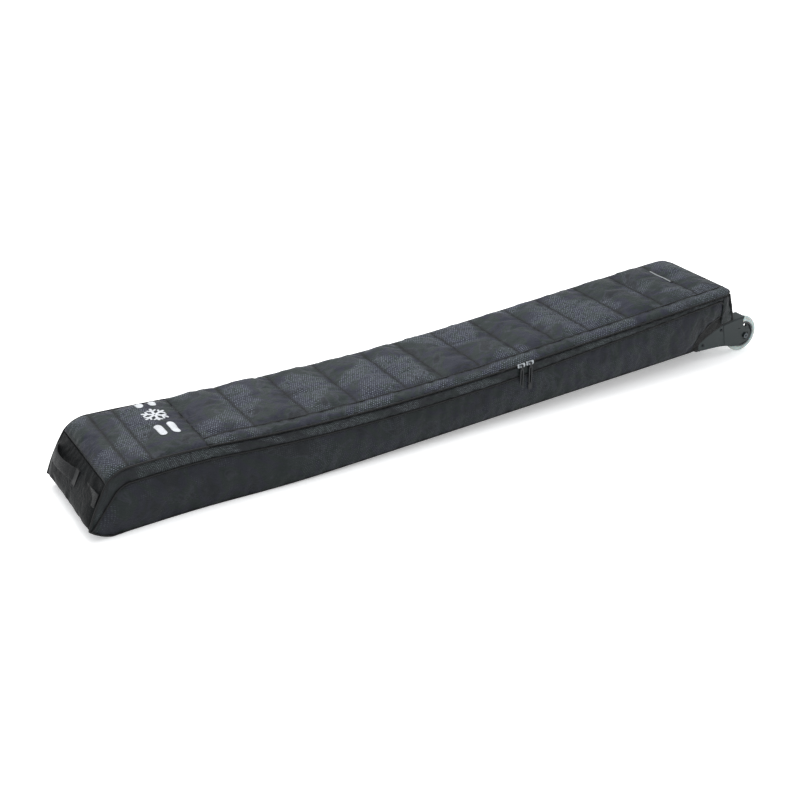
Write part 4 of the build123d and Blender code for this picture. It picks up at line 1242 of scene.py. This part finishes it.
def build_stitching():
    flap = [
        sew("flap_stitch_low", lid_tree, lid_plan(FLAP - 0.0042)),
        sew("flap_stitch_high", lid_tree, lid_plan(FLAP + 0.0042)),
    ]
    cross = [
        sew(f"quilt_stitch_{i}", lid_tree, cross_run(s + 0.0035, -HALF + FLAP + 0.004, HALF - 0.006))
        for i, s in enumerate(LID_SEAMS)
    ]
    hood_rows = [
        sew(f"hood_stitch_{i}", hood_tree, cross_run(s, -HALF + 0.012, HALF - 0.012))
        for i, s in enumerate([HOOD_SEAMS[0] + 0.0035, HOOD_SEAMS[1] + 0.0035, HOOD_END - 0.0035])
    ]
    s = np.linspace(0.10, SIDE_END - 0.02, 900)
    below = np.stack([s, lower_piping_z(s) - 0.0050], 1)
    above = np.stack([s, lower_piping_z(s) + 0.0050], 1)
    top = np.stack([s[100:], zip_z(s[100:]) - 0.0070], 1)
    side = [
        sew("side_stitch", front_tree, below, front_of),
        sew("gusset_stitch_low", gusset_tree, above, front_of),
        sew("gusset_stitch_high", gusset_tree, top, front_of),
    ]
    on(join("flap_stitching", flap), "lid", THREAD, "quilt_fabric")
    on(join("quilt_stitching", cross), "lid", DARK_THREAD, "quilt_fabric")
    on(join("hood_stitching", hood_rows), "tub", DARK_THREAD, "shell_fabric")
    on(join("side_stitching", side), "tub", DARK_THREAD, "shell_fabric")


build_stitching()
on(build_hood_mark(hood_tree), "tub", PALE, "shell_fabric")

for piece in shell:
    thicken(piece)

on(lid, "lid", QUILT, "quilt_fabric", "lid_panel", "lid_flap", "lid_tail_section", "fixed_top_section")
on(hood, "tub", QUILT, "shell_fabric", "hood_panel")
# The head end takes the darkened copy of the shell print: painted shade.
on(head_end, "tub", SHADED_END_PRINT, "shell_fabric", "head_end_panel")
on(front_side, "tub", SHELL, "shell_fabric", "front_side_panel")
on(gusset, "tub", BAND, "shell_fabric", "front_gusset")
on(back_side, "tub", SHELL, "shell_fabric", "back_side_panel")
on(tail_cap, "tub", BAND, "shell_fabric", "tail_end_panel")
on(finish_cloth(build_bottom()), "tub", BASE_CLOTH, "shell_fabric", "bottom_panel")
for side, name in SIDES:
    recess = finish_cloth(build_wheel_recess("wheel_recess_" + name, side))
    on(recess, "tub", BASE_CLOTH, "shell_fabric", "wheel_well_panel_" + name)

for piece, node in build_pipings():
    on(piece, "tub", PIPING, "piping", *([node] if node else []))
flap_piping, lid_binding = build_lid_pipings()
on(flap_piping, "lid", PIPING, "piping")
on(lid_binding, "lid", PIPING, "piping", "lid_back_piping")

zip_path = edge_path(inset=0.0006, end=TAIL_END, back_end=SIDE_END)
lower_row = build_zip_row("zip_loops_lower", zip_path, -0.0021)
on(lower_row, "tub", COIL, "zip_coil", "zip_coil_lower", "zip_coil_fixed")
upper_row = build_zip_row("zip_loops_upper", zip_path, 0.0002)
on(upper_row, "lid", COIL, "zip_coil", "zip_coil_upper")
tape_path = edge_path(inset=0.0040, end=TAIL_END, back_end=SIDE_END, step=0.01)
on(build_tape("zip_band_lower", tape_path, -0.016, -0.001), "tub", TAPE, "zip_coil", "zip_tape_lower")
on(build_tape("zip_band_upper", tape_path, 0.0008, 0.0046), "lid", TAPE, "zip_coil", "zip_tape_upper")

for side, name in SIDES:
    padding = finish_cloth(build_wall_lining("wall_padding_" + name, side), 0.0040)
    on(padding, "tub", LINING, "lining_fabric", "wall_foam_" + name)
floor_padding = on(finish_cloth(build_floor_lining(), 0.0055), "tub", PAD, "padding", "floor_foam")
head_padding = on(finish_cloth(build_head_lining(), 0.0050), "tub", LINING, "padding", "head_end_foam")
on(finish_cloth(build_lid_lining(), 0.0012), "lid", LINING, "lining_fabric", "lid_lining")
for name in ("head", "tail"):
    node = "ski_strap_" + name
    on(build_ski_strap("ski_tie_" + name, node), "tub", WEBBING, "webbing", node)

sleeve = on(build_sleeve(), "tub", SLEEVE, "shell_fabric", "head_handle_sleeve")
on(build_head_strap(), "tub", WEBBING, "webbing", "head_handle_strap")
rows = [((0.037, up), (0.147, up)) for up in (0.0138, -0.0138)]
box = [(0.106, 0.0120), (0.140, 0.0120), (0.140, -0.0120), (0.106, -0.0120)]
rows += [(a, b) for a, b in zip(box, box[1:] + box[:1])] + [(box[0], box[2]), (box[1], box[3])]
on(strap_lines("strap_stitching", rows), "tub", THREAD, "webbing")
on(build_tail_handle(), "tub", WEBBING, "webbing", "tail_handle")
# The label's dark strip is partly the real label and partly painted shade, laid where shade falls beside the
# lifted label.
on(build_label("seam_label", 0.0, 1.0, 0.0125), "lid", TAPE, "label", "label_tab")
on(build_label("seam_label_edge", -0.12, 0.16, 0.0131), "lid", LABEL_EDGE, "label")

# ---------------------------------------------------------------- finishes of the CAD pieces
paint(HOUSING, "wheel_housing_front", "wheel_housing_back", "tail_tray")
paint(SCREW, "housing_screws")
paint(BOLT, "axle_bolts", "axle_nuts", "axle_spacers")
paint(tyre_material(), "tyre_front", "tyre_back")
paint(HUB, "hub_front", "hub_back")
paint(STEEL, "bearings_front", "bearings_back")
paint(SLIDER, "slider_left", "slider_right")
paint(RUBBER, "pull_left", "pull_right")
paint(BUCKLE, "strap_buckles", "handle_keeper")
paint(BOARD, "base_board")
